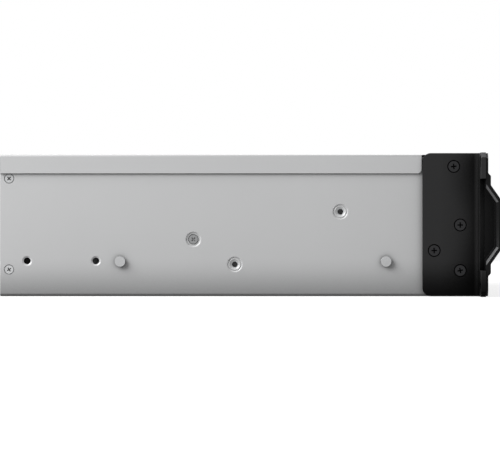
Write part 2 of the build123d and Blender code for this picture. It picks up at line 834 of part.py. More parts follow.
def rotor(x, z, front, depth, hub, bore, blades):
    """A fan wheel: a hub over the motor, with flat blades set at an angle."""
    tip = ((bore / 2 - fan_air) ** 2 - (blade_chord * cos(radians(blade_tilt)) / 2) ** 2) ** 0.5
    root = hub / 2 - blade_sheet
    with BuildPart() as wheel:
        with BuildSketch(facing_front(front + depth)):
            with Locations((x, z)):
                Circle(hub / 2)
        extrude(amount=depth)
        with Locations(Plane(origin=(x, front + depth / 2, z), z_dir=(0, -1, 0))):
            with PolarLocations((root + tip) / 2, blades):
                Box(tip - root, blade_chord, blade_sheet, rotation=(blade_tilt, 0, 0))
    return wheel.part


rotor_depth = fan_depth - fan_plate - fan_hub_gap - blade_end_gap
for name, centre in zip(("fan_rotor_left", "fan_rotor_right"), fan_centres):
    rotor_front = fan_front + fan_plate + fan_hub_gap
    keep(rotor(centre, fan_height, rotor_front, rotor_depth, fan_hub, fan_bore, fan_blades), name)


# Power supply: a closed steel housing with its own fan behind a grille
with BuildPart() as power_supply:
    with BuildSketch(facing_front(panel_front)):
        with Locations((supply_centre, supply_z)):
            Rectangle(supply_width, supply_height)
    extrude(amount=supply_length)
    with BuildSketch(facing_front(panel_front - supply_wall)):
        with Locations((bore_x, supply_z)):
            Circle(supply_bore / 2)
    extrude(amount=supply_bore_depth, mode=Mode.SUBTRACT)
    with BuildSketch(facing_front(panel_front)):
        for offset, length in grille_slots(supply_bore):
            with Locations((bore_x, supply_z + offset)):
                Rectangle(length, grille_slot)
    extrude(amount=supply_wall, mode=Mode.SUBTRACT)
    with BuildSketch(facing_front(panel_front)):
        with Locations((inlet_x, supply_z)):
            Rectangle(inlet_width + 2 * fit, inlet_height + 2 * fit)
    extrude(amount=inlet_depth, mode=Mode.SUBTRACT)
keep(power_supply.part, "power_supply")

supply_rotor_front = panel_front - supply_wall - supply_bore_depth + fan_hub_gap
supply_rotor_depth = supply_bore_depth - fan_hub_gap - blade_end_gap
keep(
    rotor(
        bore_x,
        supply_z,
        supply_rotor_front,
        supply_rotor_depth,
        supply_hub,
        supply_bore,
        supply_blades,
    ),
    "psu_fan_rotor",
)

# Power inlet: a moulded socket with three flat contacts and two cut corners
with BuildPart() as power_inlet:
    with BuildSketch(facing_front(panel_front)):
        with Locations((inlet_x, supply_z)):
            Rectangle(inlet_width, inlet_height)
    extrude(amount=inlet_depth)
    with BuildSketch(facing_front(panel_front)) as mouth:
        with Locations((inlet_x, supply_z)):
            Rectangle(inlet_width - 2 * inlet_wall, inlet_height - 2 * inlet_wall)
        chamfer(mouth.vertices().group_by(Axis.Z)[-1], inlet_corner)
    extrude(amount=inlet_depth - inlet_wall, mode=Mode.SUBTRACT)
    with BuildSketch(facing_front(panel_front - inlet_wall)):
        with Locations(
            (inlet_x - inlet_pin_spacing, supply_z - inlet_pin_drop),
            (inlet_x, supply_z + inlet_pin_drop),
            (inlet_x + inlet_pin_spacing, supply_z - inlet_pin_drop),
        ):
            Rectangle(inlet_pin_width, inlet_pin_height)
    extrude(amount=inlet_depth - 2 * inlet_wall)
keep(power_inlet.part, "power_inlet")


# Mainboard on hexagonal standoffs, with the socket of the expansion slot
board_corner_x = board_width - 2 * standoff_inset
board_corner_y = board_length - 2 * standoff_depth
with BuildPart() as mainboard:
    with BuildSketch(level(board_z)):
        with Locations((board_centre, board_rear - board_length / 2)):
            Rectangle(board_width, board_length)
    extrude(amount=board)
    with BuildSketch(level(floor_top)):
        with Locations((board_centre, board_rear - board_length / 2)):
            with GridLocations(board_corner_x, board_corner_y, 2, 2):
                RegularPolygon(standoff / 2, 6)
    extrude(amount=board_lift)
    with BuildSketch(level(board_top)):
        with Locations((card_slot_centre, board_rear - board_length / 2)):
            Rectangle(card_socket_width, card_socket_length)
    extrude(amount=card_socket_height)
keep(mainboard.part, "mainboard")

# Heatsink with straight fins, so that air passes from front to back
sink_front = board_front + memory_front + 2 * memory_spacing
sink_rear = port_rear - socket_depth - sink_gap
fin_pitch = (sink_width - sink_fin) / (sink_fins - 1)
with BuildPart() as heatsink:
    with BuildSketch(facing_front(sink_rear)):
        with Locations((board_centre, board_top + sink_base / 2)):
            Rectangle(sink_width, sink_base)
        with Locations((board_centre, board_top + sink_height / 2)):
            with GridLocations(fin_pitch, 1, sink_fins, 1):
                Rectangle(sink_fin, sink_height)
    extrude(amount=sink_rear - sink_front)
keep(heatsink.part, "heatsink")

# Memory modules upright in their sockets
memory_length = board_width - 2 * memory_edge
with BuildPart() as memory_modules:
    for index in range(2):
        memory_y = board_front + memory_front + index * memory_spacing
        with BuildSketch(level(board_top)):
            with Locations((board_centre, memory_y)):
                Rectangle(memory_length, memory_socket)
        extrude(amount=memory_socket)
        with BuildSketch(level(board_top + memory_socket)):
            with Locations((board_centre, memory_y)):
                Rectangle(memory_length - memory_socket, memory_sheet)
        extrude(amount=memory_height - memory_socket)
keep(memory_modules.part, "memory_modules")


# Ports along the mainboard's rear edge
mouth_z = board_top + socket_floor + socket_mouth_height / 2
tab_z = mouth_z + (socket_mouth_height + socket_tab_height) / 2
usb_x = (usb_left + usb_right) / 2
usb_heights = [board_top + socket_height / 2 + step * usb_spacing for step in (-0.5, 0.5)]
video_x = (video_left + video_right) / 2
with BuildPart() as port_block:
    with BuildSketch(facing_front(port_rear)):
        for left, right, height in port_spans:
            with Locations(((left + right) / 2, board_top + height / 2)):
                Rectangle(right - left, height)
    extrude(amount=socket_depth)
    with BuildSketch(facing_front(port_rear)):
        for index in range(socket_count):
            socket_x = sockets_left + (index + 0.5) * socket_width
            with Locations((socket_x, mouth_z)):
                Rectangle(socket_mouth_width, socket_mouth_height)
            with Locations((socket_x, tab_z)):
                Rectangle(socket_tab_width, socket_tab_height)
    extrude(amount=socket_mouth_depth, mode=Mode.SUBTRACT)
    with BuildSketch(facing_front(port_rear)):
        for usb_z in usb_heights:
            with Locations((usb_x, usb_z)):
                Rectangle(usb_mouth_width, usb_mouth_height)
        with Locations((video_x, board_top + video_height / 2)):
            Rectangle(video_mouth_width, video_mouth_height)
    extrude(amount=usb_mouth_depth, mode=Mode.SUBTRACT)
    with BuildSketch(facing_front(port_rear - port_proud)):
        for usb_z in usb_heights:
            with Locations((usb_x, usb_z + usb_mouth_height / 2 - usb_tongue)):
                Rectangle(usb_tongue_width, usb_tongue)
    extrude(amount=usb_mouth_depth - port_proud)
keep(port_block.part, "port_block")

# Cover of the expansion slot, inside the rear panel
with BuildPart() as slot_cover:
    with BuildSketch(facing_front(panel_front)):
        with Locations((card_slot_centre, panel_middle)):
            Rectangle(card_slot_width, card_slot_height)
            with GridLocations(1, card_vent_spacing, 1, card_vent_count):
                Rectangle(card_vent_width, card_vent_height, mode=Mode.SUBTRACT)
    extrude(amount=cover_sheet)
keep(slot_cover.part, "slot_cover")
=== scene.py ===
# %% [markdown]
# A short rack server, seen square on from its left side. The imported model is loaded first
# and never moved: each finished piece is built around it, in metres, in the same frame.
# X runs across the case, Y towards the rear and Z up, with the rack flanges at Y = 0.

import json
import math

import bmesh
import bpy
from mathutils import Matrix, Vector


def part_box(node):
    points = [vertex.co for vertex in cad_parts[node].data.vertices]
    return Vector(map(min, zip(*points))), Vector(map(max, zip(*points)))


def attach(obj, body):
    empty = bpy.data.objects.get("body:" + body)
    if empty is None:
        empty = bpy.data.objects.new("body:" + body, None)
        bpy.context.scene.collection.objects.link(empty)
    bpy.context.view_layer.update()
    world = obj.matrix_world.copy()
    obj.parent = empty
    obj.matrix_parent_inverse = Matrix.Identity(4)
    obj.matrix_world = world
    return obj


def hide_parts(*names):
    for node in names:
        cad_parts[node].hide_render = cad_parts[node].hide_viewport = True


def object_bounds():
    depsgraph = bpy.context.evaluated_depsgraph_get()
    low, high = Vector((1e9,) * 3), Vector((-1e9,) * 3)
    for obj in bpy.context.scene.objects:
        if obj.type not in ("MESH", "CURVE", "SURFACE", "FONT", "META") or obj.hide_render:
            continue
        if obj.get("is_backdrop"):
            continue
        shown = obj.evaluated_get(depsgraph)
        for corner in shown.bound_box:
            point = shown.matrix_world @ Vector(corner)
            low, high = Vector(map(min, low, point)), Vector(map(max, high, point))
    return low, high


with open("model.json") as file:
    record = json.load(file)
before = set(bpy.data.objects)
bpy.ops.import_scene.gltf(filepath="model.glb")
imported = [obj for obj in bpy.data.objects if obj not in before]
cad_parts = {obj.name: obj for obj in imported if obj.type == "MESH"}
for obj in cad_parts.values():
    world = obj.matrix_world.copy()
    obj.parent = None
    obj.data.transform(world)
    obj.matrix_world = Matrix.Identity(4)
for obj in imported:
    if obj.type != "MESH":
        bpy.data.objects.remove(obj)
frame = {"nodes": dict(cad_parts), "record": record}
cad_low, cad_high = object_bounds()
MM = 0.001

# %% [markdown]
# The camera stands far off the left side, so that the side wall shows almost without
# perspective. The lens is worked out from the width that the picture takes in at the wall.

# %% Camera
case_low, case_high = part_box("chassis_base")
WALL_X = case_low.x
REAR_Y = case_high.y
VIEW_WIDTH = 0.30775
VIEW_DISTANCE = 2.086
VIEW_HEIGHT = -0.0002
SENSOR = 36.0

camera_data = bpy.data.cameras.new("camera")
camera_data.sensor_width = SENSOR
camera_data.lens = SENSOR * VIEW_DISTANCE / VIEW_WIDTH
camera_data.clip_start = 0.1
camera_data.clip_end = 50.0
camera = bpy.data.objects.new("camera", camera_data)
bpy.context.collection.objects.link(camera)
camera.location = (WALL_X - VIEW_DISTANCE, REAR_Y - VIEW_WIDTH / 2, VIEW_HEIGHT)
camera.rotation_euler = (math.radians(90), 0, math.radians(-90))
bpy.context.scene.camera = camera
bpy.context.scene.view_settings.view_transform = "Standard"
print("lens", round(camera_data.lens, 1))

# %% [markdown]
# A material's maths reads best as maths. Socket wraps one output of a node, and its
# operators add the Math nodes, so that 1 - mask or noise * 0.2 can be written as they are.


# %% Shader maths
class Socket:
    """One output in a material, which can be used like a number."""

    def __init__(self, finish, socket):
        self.finish = finish
        self.socket = socket

    def _math(self, operation, first, second=0.0):
        return self.finish.node("ShaderNodeMath", {"operation": operation}, {0: first, 1: second})

    def __add__(self, other):
        return self._math("ADD", self, other)

    __radd__ = __add__

    def __sub__(self, other):
        return self._math("SUBTRACT", self, other)

    def __rsub__(self, other):
        return self._math("SUBTRACT", other, self)

    def __mul__(self, other):
        return self._math("MULTIPLY", self, other)

    __rmul__ = __mul__

    def __gt__(self, other):
        return self._math("GREATER_THAN", self, other)

    def wave(self):
        return self._math("SINE", self)

    def size(self):
        return self._math("ABSOLUTE", self)

    def clamp(self):
        return self.finish.node("ShaderNodeClamp", {}, {"Value": self})

    def __pow__(self, other):
        return self._math("POWER", self, other)


# %% [markdown]
# A finish is a material that the renderer works out, with no pictures. Finish holds one,
# files it under its name in FINISHES, and has the only method that makes shader nodes. Its
# patterns read Object coordinates, so they stay on a piece wherever the piece moves.


# %% Finishes
FINISHES = {}
OPEN_GAIN = 1.04  # even a face in the open measures a little under one


class Finish:
    """A procedural material: its shader and the nodes that feed it."""

    def __init__(self, name, **sockets):
        self.material = FINISHES[name] = bpy.data.materials.new(name)
        self.material.use_nodes = True
        self.tree = self.material.node_tree
        self.shader = self.tree.nodes["Principled BSDF"]
        self.set(**sockets)

    def set(self, **sockets):
        """Feeds the shader's sockets, named with _ in the place of a space."""
        for key, value in sockets.items():
            self.feed(self.shader.inputs[key.replace("_", " ")], value)

    def feed(self, socket, value):
        if isinstance(value, Socket):
            self.tree.links.new(value.socket, socket)
        else:
            socket.default_value = value

    def node(self, kind, settings=None, inputs=None, output=0):
        made = self.tree.nodes.new(kind)
        for key, value in (settings or {}).items():
            setattr(made, key, value)
        for key, value in (inputs or {}).items():
            self.feed(made.inputs[key], value)
        return Socket(self, made.outputs[output])

    def place(self):
        return self.node("ShaderNodeTexCoord", output="Object")

    def axis(self, name):
        return self.node("ShaderNodeSeparateXYZ", {}, {0: self.place()}, output=name)

    def noise(self, scale, detail=2.0, stretch=(1, 1, 1)):
        where = self.node("ShaderNodeMapping", {}, {"Vector": self.place(), "Scale": stretch})
        inputs = {"Vector": where, "Scale": scale, "Detail": detail}
        return self.node("ShaderNodeTexNoise", {}, inputs)

    def mix(self, factor, low, high):
        inputs = {"Factor": factor, "A": low, "B": high}
        return self.node("ShaderNodeMix", {"data_type": "RGBA"}, inputs, output="Result")

    # The finishes mix this into their colours as painted shade.
    def openness(self, reach, power=1.0):
        """One in the open, and less in corners, seams and holes narrower than the reach."""
        inputs = {"Distance": reach}
        open_sky = self.node("ShaderNodeAmbientOcclusion", {"samples": 10}, inputs, output="AO")
        return (open_sky * OPEN_GAIN).clamp() ** power

    def bump(self, height, strength, distance):
        inputs = {"Height": height, "Strength": strength, "Distance": distance}
        self.set(Normal=self.node("ShaderNodeBump", {}, inputs))


# %% [markdown]
# The case is folded steel under a light grey powder coat: an even, slightly mottled skin with a
# fine orange peel that only shows where light grazes it. The same recipe in black makes the rack
# ears and, glossier, the drawn rims of the holes, whose lighter grey is a painted highlight. Two
# noises of different size stand for the flow of the paint and its grain, and painted shade darkens
# the colour where little light gets in, as along seams, round studs and at the foot.


# %% Powder coats
SEAM_REACH = 24 * MM
CASE_GREY = (0.52, 0.523, 0.527)
EAR_BLACK = (0.0335, 0.0335, 0.034)


def tint(colour, factor=1.0):
    return tuple(min(1.0, channel * factor) for channel in colour[:3]) + (1.0,)


def powder_coat(name, colour, roughness, texture=0.3, specular=0.5, power=1.6, deepest=0.22):
    coat = Finish(name, Specular_IOR_Level=specular)
    cloud, peel, grain = coat.noise(14.0, 3.0), coat.noise(1300.0), coat.noise(4600.0, 1.0)
    skin = coat.mix(cloud, tint(colour, 0.965), tint(colour, 1.035))
    # Painted shade: the colour darkens towards the deepest tint along seams, round studs and at the
    # foot.
    shaded_skin = coat.mix(coat.openness(SEAM_REACH, power), tint(colour, deepest), skin)
    coat.set(Base_Color=shaded_skin, Roughness=roughness + (peel - 0.5) * 0.12)
    coat.bump(peel * 0.65 + grain * 0.35, texture, 0.06 * MM)
    return coat.material


powder_coat("case_grey", CASE_GREY, 0.5)
# A lighter, glossier copy of the case grey for the drawn slopes; its lighter colour is a painted
# highlight, and it takes less painted shade.
highlit_rim_grey = powder_coat("highlit_rim_grey", tint(CASE_GREY, 1.12), 0.26, power=0.6)
# The ears take a strong painted shade, nearly black in the bend and round the handle.
powder_coat("ear_black", EAR_BLACK, 0.5, texture=0.45, specular=0.02, power=4.5, deepest=0.02)
print("powder coats", list(FINISHES))

# %% [markdown]
# Moulded plastic has a spark-eroded grain, finer than paint's, and a softer shine. The handles,
# tray fronts, levers and buttons all take it, each in its own grey, darkened by painted shade in
# hollows and corners. The cut edge of the handle's grip takes a lighter grey, a painted highlight.


# %% Moulded plastics
def moulded(name, colour, roughness, specular=0.45, reach=8 * MM):
    plastic = Finish(name, Specular_IOR_Level=specular)
    flow, pits = plastic.noise(40.0), plastic.noise(2600.0, 1.5)
    skin = plastic.mix(flow, tint(colour, 0.93), tint(colour, 1.07))
    # Painted shade in the hollows and corners of the moulding.
    shaded_skin = plastic.mix(plastic.openness(reach, 1.3), tint(colour, 0.1), skin)
    plastic.set(Base_Color=shaded_skin, Roughness=roughness + (pits - 0.5) * 0.16)
    plastic.bump(pits, 0.35, 0.05 * MM)
    return plastic.material


# The handle's painted shade reaches further, into its finger gap.
moulded("handle_black", (0.0048, 0.0048, 0.005), 0.42, specular=0.09, reach=16 * MM)
# A lighter grey for the grip's cut edges and the ears' upper tips: a painted highlight.
edge_highlight = moulded("edge_highlight", (0.075, 0.075, 0.077), 0.36, specular=0.3)
tray_black = moulded("tray_black", (0.014, 0.014, 0.0145), 0.46)
moulded("lever_grey", (0.055, 0.056, 0.06), 0.38)
moulded("release_grey", (0.24, 0.25, 0.26), 0.36)
moulded("button_grey", (0.17, 0.175, 0.18), 0.34)
moulded("fan_black", (0.018, 0.018, 0.019), 0.44)
moulded("inlet_black", (0.012, 0.012, 0.012), 0.42)
print("finishes", len(FINISHES))

# %% [markdown]
# Bare metal parts differ in how they were made: zinc plate on screws, flaky spangle on
# galvanised sheet, fine saw lines on extruded aluminium, a dull skin on the cast drive. The
# ports are black mouldings with a metal shell round their mouths, so one finish holds both.


# %% Metals
SHELL_FROM = 285.5 * MM
PORT_BLACK = (0.006, 0.006, 0.006, 1.0)


def plated(name, colour, roughness, lines=(1, 1, 1), scale=900.0, metallic=1.0, shell_from=None):
    """Plated metal all over, or only behind a given depth, with black moulding before it."""
    metal = Finish(name, Metallic=metallic)
    streak, smudge = metal.noise(scale, 3.0, lines), metal.noise(60.0, 3.0)
    skin = metal.mix(smudge, tint(colour, 0.88), tint(colour, 1.08))
    # Painted shade: the metal darkens nearly to black in slots and gaps narrower than 3 mm.
    shaded_skin = metal.mix(metal.openness(3 * MM, 4.0), tint(colour, 0.05), skin)
    if shell_from is not None:
        shaded_skin = metal.mix(metal.axis("Y") > shell_from, PORT_BLACK, shaded_skin)
    worn = roughness + (streak - 0.5) * 0.16 + (smudge - 0.5) * 0.1
    metal.set(Base_Color=shaded_skin, Roughness=worn)
    metal.bump(streak, 0.2, 0.03 * MM)
    return metal.material


def galvanised_sheet(name, colour):
    sheet = Finish(name, Metallic=0.5)
    wobble = sheet.noise(220.0)
    inputs = {"Vector": sheet.place(), "Scale": 150.0}
    flake = sheet.node("ShaderNodeTexVoronoi", {"feature": "F1"}, inputs, output="Color")
    tone = sheet.node("ShaderNodeSeparateColor", {}, {"Color": flake}, output="Red")
    mottle = (tone * 0.7 + wobble * 0.3).clamp()
    skin = sheet.mix(mottle, tint(colour, 0.93), tint(colour, 1.05))
    sheet.set(Base_Color=skin, Roughness=0.58 + tone * 0.07 + wobble * 0.04)
    sheet.bump(wobble, 0.12, 0.05 * MM)
    return sheet.material


zinc = plated("zinc", (0.46, 0.465, 0.47), 0.42)
pin_zinc = plated("pin_zinc", (0.4, 0.404, 0.408), 0.46)
# A darker zinc for the screw in the dimple: painted shade of the dimple round it.
zinc_in_shade = plated("zinc_in_shade", (0.25, 0.253, 0.256), 0.46)
galvanised = galvanised_sheet("galvanised", (0.43, 0.44, 0.45))
plated("drive_metal", (0.4, 0.41, 0.42), 0.6, scale=500.0, metallic=0.5)
plated("port_metal", (0.62, 0.61, 0.58), 0.28, lines=(1, 8, 1), shell_from=SHELL_FROM)
sink_metal = plated("sink_metal", (0.5, 0.51, 0.52), 0.42, lines=(12, 1, 1), metallic=0.7)
screw_black = plated("screw_black", (0.03, 0.03, 0.031), 0.5)
print("finishes", len(FINISHES))

# %% [markdown]
# The boards are glass fibre under green solder mask, with copper tracks that show through as
# slightly raised, lighter lines. The light pipes are clear plastic rods. With all finishes
# made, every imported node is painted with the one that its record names.


# %% Board, light pipes, and paint on the nodes
TRACK_WAVES = 900.0


def solder_mask(name, colour):
    board = Finish(name, Roughness=0.35, Coat_Weight=0.3)
    gate = board.noise(55.0, 1.0) > 0.52
    across, along = ((board.axis(axis) * TRACK_WAVES).wave() > 0.55 for axis in "XY")
    tracks = across * gate + along * (1 - gate)
    board.set(Base_Color=board.mix(tracks, tint(colour), tint(colour, 1.7)))
    board.bump(tracks, 0.3, 0.04 * MM)


solder_mask("board_green", (0.008, 0.07, 0.03))
lamp = Finish("lamp_clear", Base_Color=(0.72, 0.76, 0.74, 1.0), Transmission_Weight=0.35)
lamp.set(Roughness=0.12 + lamp.noise(900.0) * 0.12)
slot_of = {part["node"]: part["material_slot"] for part in frame["record"]["subparts"]}


def paint(item, material):
    if not item.material_slots:
        item.data.materials.append(material)
    for place in item.material_slots:
        place.material = material


for name, node in frame["nodes"].items():
    paint(node, FINISHES[slot_of[name]])
print("painted", len(slot_of), "nodes")

# %% [markdown]
# The picture is a cut-out on pure white, and the wall grows darker towards its foot. So the
# floor is white to the camera, but to light that bounces off it, it is pale far off and dark
# near the case. A floor that is white to both would light the foot of the wall up instead.

# %% Floor
FLOOR_Z = cad_low.z - 0.2 * MM
FLOOR_HALF = 4.0
FLOOR_GLOW = 0.72
FLOOR_SHADE = 0.4
CASE_MIDDLE = (0.0, 0.14, 0.0)
CASE_HALF = (0.215, 0.155)
SKY_LIGHT = 0.42
NEAR_LIGHT = 0.02
NEAR_SHADE = 22.0


def grey(level):
    return (level, level, level, 1.0)


def seen_or_mirrored(finish):
    """One for rays from the camera, straight, mirrored or through clear plastic."""
    kinds = ("Is Camera Ray", "Is Glossy Ray", "Is Transmission Ray")
    rays = [finish.node("ShaderNodeLightPath", output=kind) for kind in kinds]
    return (rays[0] + rays[1] + rays[2]).clamp()


signs = ((-1, -1), (1, -1), (1, 1), (-1, 1))
corners = [(x * FLOOR_HALF, y * FLOOR_HALF, FLOOR_Z) for x, y in signs]
floor_mesh = bpy.data.meshes.new("floor")
floor_mesh.from_pydata(corners, [], [(0, 1, 2, 3)])
floor = bpy.data.objects.new("floor", floor_mesh)
bpy.context.collection.objects.link(floor)

ground = Finish("floor_white", Roughness=1.0, Specular_IOR_Level=0.0)
spread_x = (ground.axis("X").size() - CASE_HALF[0]).clamp()
spread_y = ((ground.axis("Y") - CASE_MIDDLE[1]).size() - CASE_HALF[1]).clamp()
away = ((spread_x + spread_y) * NEAR_SHADE).clamp()
dimmed = ground.mix(away, grey(NEAR_LIGHT), grey(SKY_LIGHT))
bounce = ground.node("ShaderNodeEmission", {}, {"Color": dimmed})
glow = ground.node("ShaderNodeEmission", {}, {"Color": grey(1.0), "Strength": FLOOR_GLOW})
shade = ground.node("ShaderNodeBsdfDiffuse", {}, {"Color": grey(FLOOR_SHADE)})
shown = ground.node("ShaderNodeAddShader", {}, {0: glow, 1: shade})
mixed = ground.node("ShaderNodeMixShader", {}, {0: seen_or_mirrored(ground), 1: bounce, 2: shown})
ground.feed(ground.tree.nodes["Material Output"].inputs["Surface"], mixed)
floor_mesh.materials.append(ground.material)
floor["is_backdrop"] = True
print("floor at", round(FLOOR_Z, 4))

# %% [markdown]
# The sky works in the same way: white where the camera or a reflection sees it, and dimmer as
# a light, so that the lamps still shape the case.

# %% Sky
SKY_SEEN = 1.0


class Sky(Finish):
    """The world, with its background as the shader."""

    def __init__(self, world):
        world.use_nodes = True
        self.tree = world.node_tree
        self.shader = self.tree.nodes["Background"]


world = bpy.data.worlds.new("studio")
bpy.context.scene.world = world
sky = Sky(world)
sky.set(Color=grey(1.0), Strength=seen_or_mirrored(sky) * (SKY_SEEN - SKY_LIGHT) + SKY_LIGHT)
print("sky seen at", SKY_SEEN, "and lighting at", SKY_LIGHT)

# %% [markdown]
# One large soft lamp, above and behind the seen side, makes the main light and the shadows
# of the studs. Two weak ones fill the front and the far side, for the other views.


# %% Lamps
def soft_lamp(name, place, aim, size, power):
    data = bpy.data.lights.new(name, "AREA")
    data.shape = "DISK"
    data.size = size
    data.energy = power
    lamp_object = bpy.data.objects.new(name, data)
    bpy.context.collection.objects.link(lamp_object)
    lamp_object.visible_camera = False
    lamp_object.location = place
    lamp_object.rotation_euler = (Vector(aim) - Vector(place)).to_track_quat("-Z", "Y").to_euler()


soft_lamp("key", (-0.98, 1.31, 0.91), (-0.21, 0.17, 0.0), 1.3, 33.5)
soft_lamp("front_fill", (0.5, -1.6, 0.5), CASE_MIDDLE, 1.0, 9.0)
soft_lamp("far_side", (1.6, 0.5, 0.6), CASE_MIDDLE, 1.0, 8.0)
print("lamps", len(bpy.data.lights))

# %% [markdown]
# Sheet metal and mouldings never have knife edges: a small rounding catches the light along
# each one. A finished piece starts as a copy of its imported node, with the loose triangles
# merged and flat areas joined, so that only real edges are left to round.


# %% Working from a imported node
SAME_SPOT = 0.002 * MM
SAME_PLANE = math.radians(0.6)


def add_object(name, mesh):
    made = bpy.data.objects.new(name, mesh)
    bpy.context.collection.objects.link(made)
    return made


def plain_mesh(item):
    """The object with its modifiers turned into a plain mesh."""
    bpy.context.view_layer.update()
    evaluated = item.evaluated_get(bpy.context.evaluated_depsgraph_get())
    mesh = bpy.data.meshes.new_from_object(evaluated)
    item.modifiers.clear()
    item.data = mesh
    return item


def merged_copy(node, name):
    work = bmesh.new()
    work.from_mesh(frame["nodes"][node].data)
    bmesh.ops.remove_doubles(work, verts=work.verts, dist=SAME_SPOT)
    bmesh.ops.dissolve_limit(work, angle_limit=SAME_PLANE, verts=work.verts, edges=work.edges)
    mesh = bpy.data.meshes.new(name)
    work.to_mesh(mesh)
    work.free()
    return add_object(name, mesh)


# %% [markdown]
# Holes are cut by an exact Boolean, because the cutters are closed shapes that meet the
# sheet squarely. A Bevel rounds what is sharp. Curves are then shaded smooth, while faces
# that are square to an axis stay flat, so that no shine creeps over a flat wall.


# %% Cutting and softening
SQUARE = 0.99999


def cut_away(item, cutter):
    """Takes the cutter's shape out of the item, and deletes the cutter."""
    knife = item.modifiers.new("cut", "BOOLEAN")
    knife.operation = "DIFFERENCE"
    knife.solver = "EXACT"
    knife.object = cutter
    plain_mesh(item)
    bpy.data.objects.remove(cutter)
    return item


def smooth_curves(item, angle=28):
    """Smooth shading for what curves, and flat shading for what is square to an axis."""
    item.data.shade_smooth()
    item.data.set_sharp_from_angle(angle=math.radians(angle))
    for face in item.data.polygons:
        if max(abs(part) for part in face.normal) > SQUARE:
            face.use_smooth = False
    return item


def carve(item, shapes, angle=28):
    """Cuts closed shapes out of the item and shades it afresh."""
    cut_away(item, solid_of("cutter", shapes))
    return smooth_curves(item, angle)


def soften(item, width, segments=2, angle=32):
    """Rounds the sharp edges and smooths the shading of the rest."""
    edge = item.modifiers.new("soften", "BEVEL")
    edge.width = width
    edge.segments = segments
    edge.limit_method = "ANGLE"
    edge.angle_limit = math.radians(angle)
    edge.harden_normals = False
    plain_mesh(item)
    return smooth_curves(item)


def rounded(node, name, width=0.3, segments=2):
    """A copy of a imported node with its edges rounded, by a width in millimetres."""
    return soften(merged_copy(node, name), width * MM, segments)


# %% [markdown]
# A finished piece gets its finish, hides the imported node that it stands for, and rides on that
# node's body, so that it moves when the body does. Some of its faces may then take a second finish,
# picked by where they lie and how they lean.


# %% Handing a piece over
def finish_piece(item, body, material_slot, *stands_for):
    item.data.materials.clear()
    item.data.materials.append(FINISHES[material_slot])
    if stands_for:
        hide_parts(*stands_for)
    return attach(item, body)


def second_finish(item, finish, chosen):
    """Gives a piece's chosen faces a finish of their own."""
    item.data.materials.append(finish)
    for face in item.data.polygons:
        face.material_index = int(chosen(face))


def near(face, places, reach=5 * MM):
    """Whether a face lies round one of the (y, z) places on a side wall."""
    middle = face.center
    return any(math.hypot(middle.y - y * MM, middle.z - z * MM) < reach for y, z in places)


def leans(face, low, high):
    """Whether a face is neither square to the side of the case nor in line with it."""
    return low < abs(face.normal.x) < high


# %% [markdown]
# A turned shape is a profile of (radius, depth) swept round an axis. Dimples, countersinks
# and chamfers are all such shapes, cut into the sheet. The sides of the case need them
# along X, facing out to the left or to the right, and the rear panel along Y.


# %% Turned shapes
REAR_TURN = Matrix.Rotation(math.pi / 2, 4, "Z")


def turned(profile, side, spot=(0.0, 0.0, 0.0), turns=40):
    """Vertices and faces of a closed turned solid whose depth runs into the case side."""
    verts, faces = [], []
    x, y, z = spot
    for radius, depth in profile:
        for step in range(turns):
            angle = math.tau * step / turns
            along, up = radius * math.cos(angle), radius * math.sin(angle)
            verts.append((x - side * depth, y + along, z + up))
    for ring in range(len(profile) - 1):
        for step in range(turns):
            here, there = ring * turns, (ring + 1) * turns
            after = (step + 1) % turns
            faces.append((here + step, here + after, there + after, there + step))
    faces.append(tuple(range(turns)))
    faces.append(tuple(reversed(range((len(profile) - 1) * turns, len(profile) * turns))))
    return verts, faces


def at_rear(shape, place):
    """A shape made along +X, turned to face the rear and put in its place."""
    turn = Matrix.Translation(place) @ REAR_TURN
    return [tuple(turn @ Vector(vert)) for vert in shape[0]], shape[1]


def solid_of(name, shapes):
    verts, faces = [], []
    for shape_verts, shape_faces in shapes:
        faces += [tuple(index + len(verts) for index in face) for face in shape_faces]
        verts += shape_verts
    mesh = bpy.data.meshes.new(name)
    mesh.from_pydata(verts, [], faces)
    work = bmesh.new()
    work.from_mesh(mesh)
    bmesh.ops.recalc_face_normals(work, faces=work.faces)
    work.to_mesh(mesh)
    work.free()
    return add_object(name, mesh)


def mm(pairs):
    return [(first * MM, second * MM) for first, second in pairs]


# %% [markdown]
# The left wall carries, from the rear: two countersunk screws, two open rail holes with a small
# chamfer, a rail stud, a dimpled hole, a screw in a dimple, another dimpled hole and the front
# stud. Each place is (y, z) in millimetres on the wall. The punch that drew the rims and dimples
# has smoothed their slopes, so these take the glossier paint, whose lighter grey is a painted
# highlight.

# %% Side walls with their holes
REAR_SCREWS = [(288.8, 28.4), (288.8, -27.6)]
RAIL_HOLES = [(277.7, -22.3), (235.4, -22.3)]
DISHED_HOLES = [(149.9, -24.4), (84.9, 8.0)]
CAGE_SCREW = (175.4, -9.0)
STUDS = [(56.8, -22.6), (220.5, -22.6)]
HALF = case_high.x
ABOVE = -0.5

SINK = mm([(3.1, ABOVE), (3.1, 0.02), (3.02, 0.2), (3.02, 1.6)])
RIM = mm([(3.15, ABOVE), (3.1, 0.0), (2.1, 0.66), (2.05, 1.6)])
DISH_SLOPE = [(4.85, ABOVE), (4.8, 0.0), (4.0, 0.66), (3.8, 0.66)]
DISH_RIDGE = [(3.4, 0.3), (3.15, 0.3), (2.35, 0.95), (2.15, 1.0), (2.1, 1.6)]
DISH = mm(DISH_SLOPE + DISH_RIDGE)
BOWL = mm([(4.85, ABOVE), (4.8, 0.0), (4.0, 0.66), (3.2, 0.68), (3.1, 1.1)])

DRAWN = RAIL_HOLES + DISHED_HOLES + [CAGE_SCREW]
KINDS = ((REAR_SCREWS, SINK), (RAIL_HOLES, RIM), (DISHED_HOLES, DISH), ([CAGE_SCREW], BOWL))


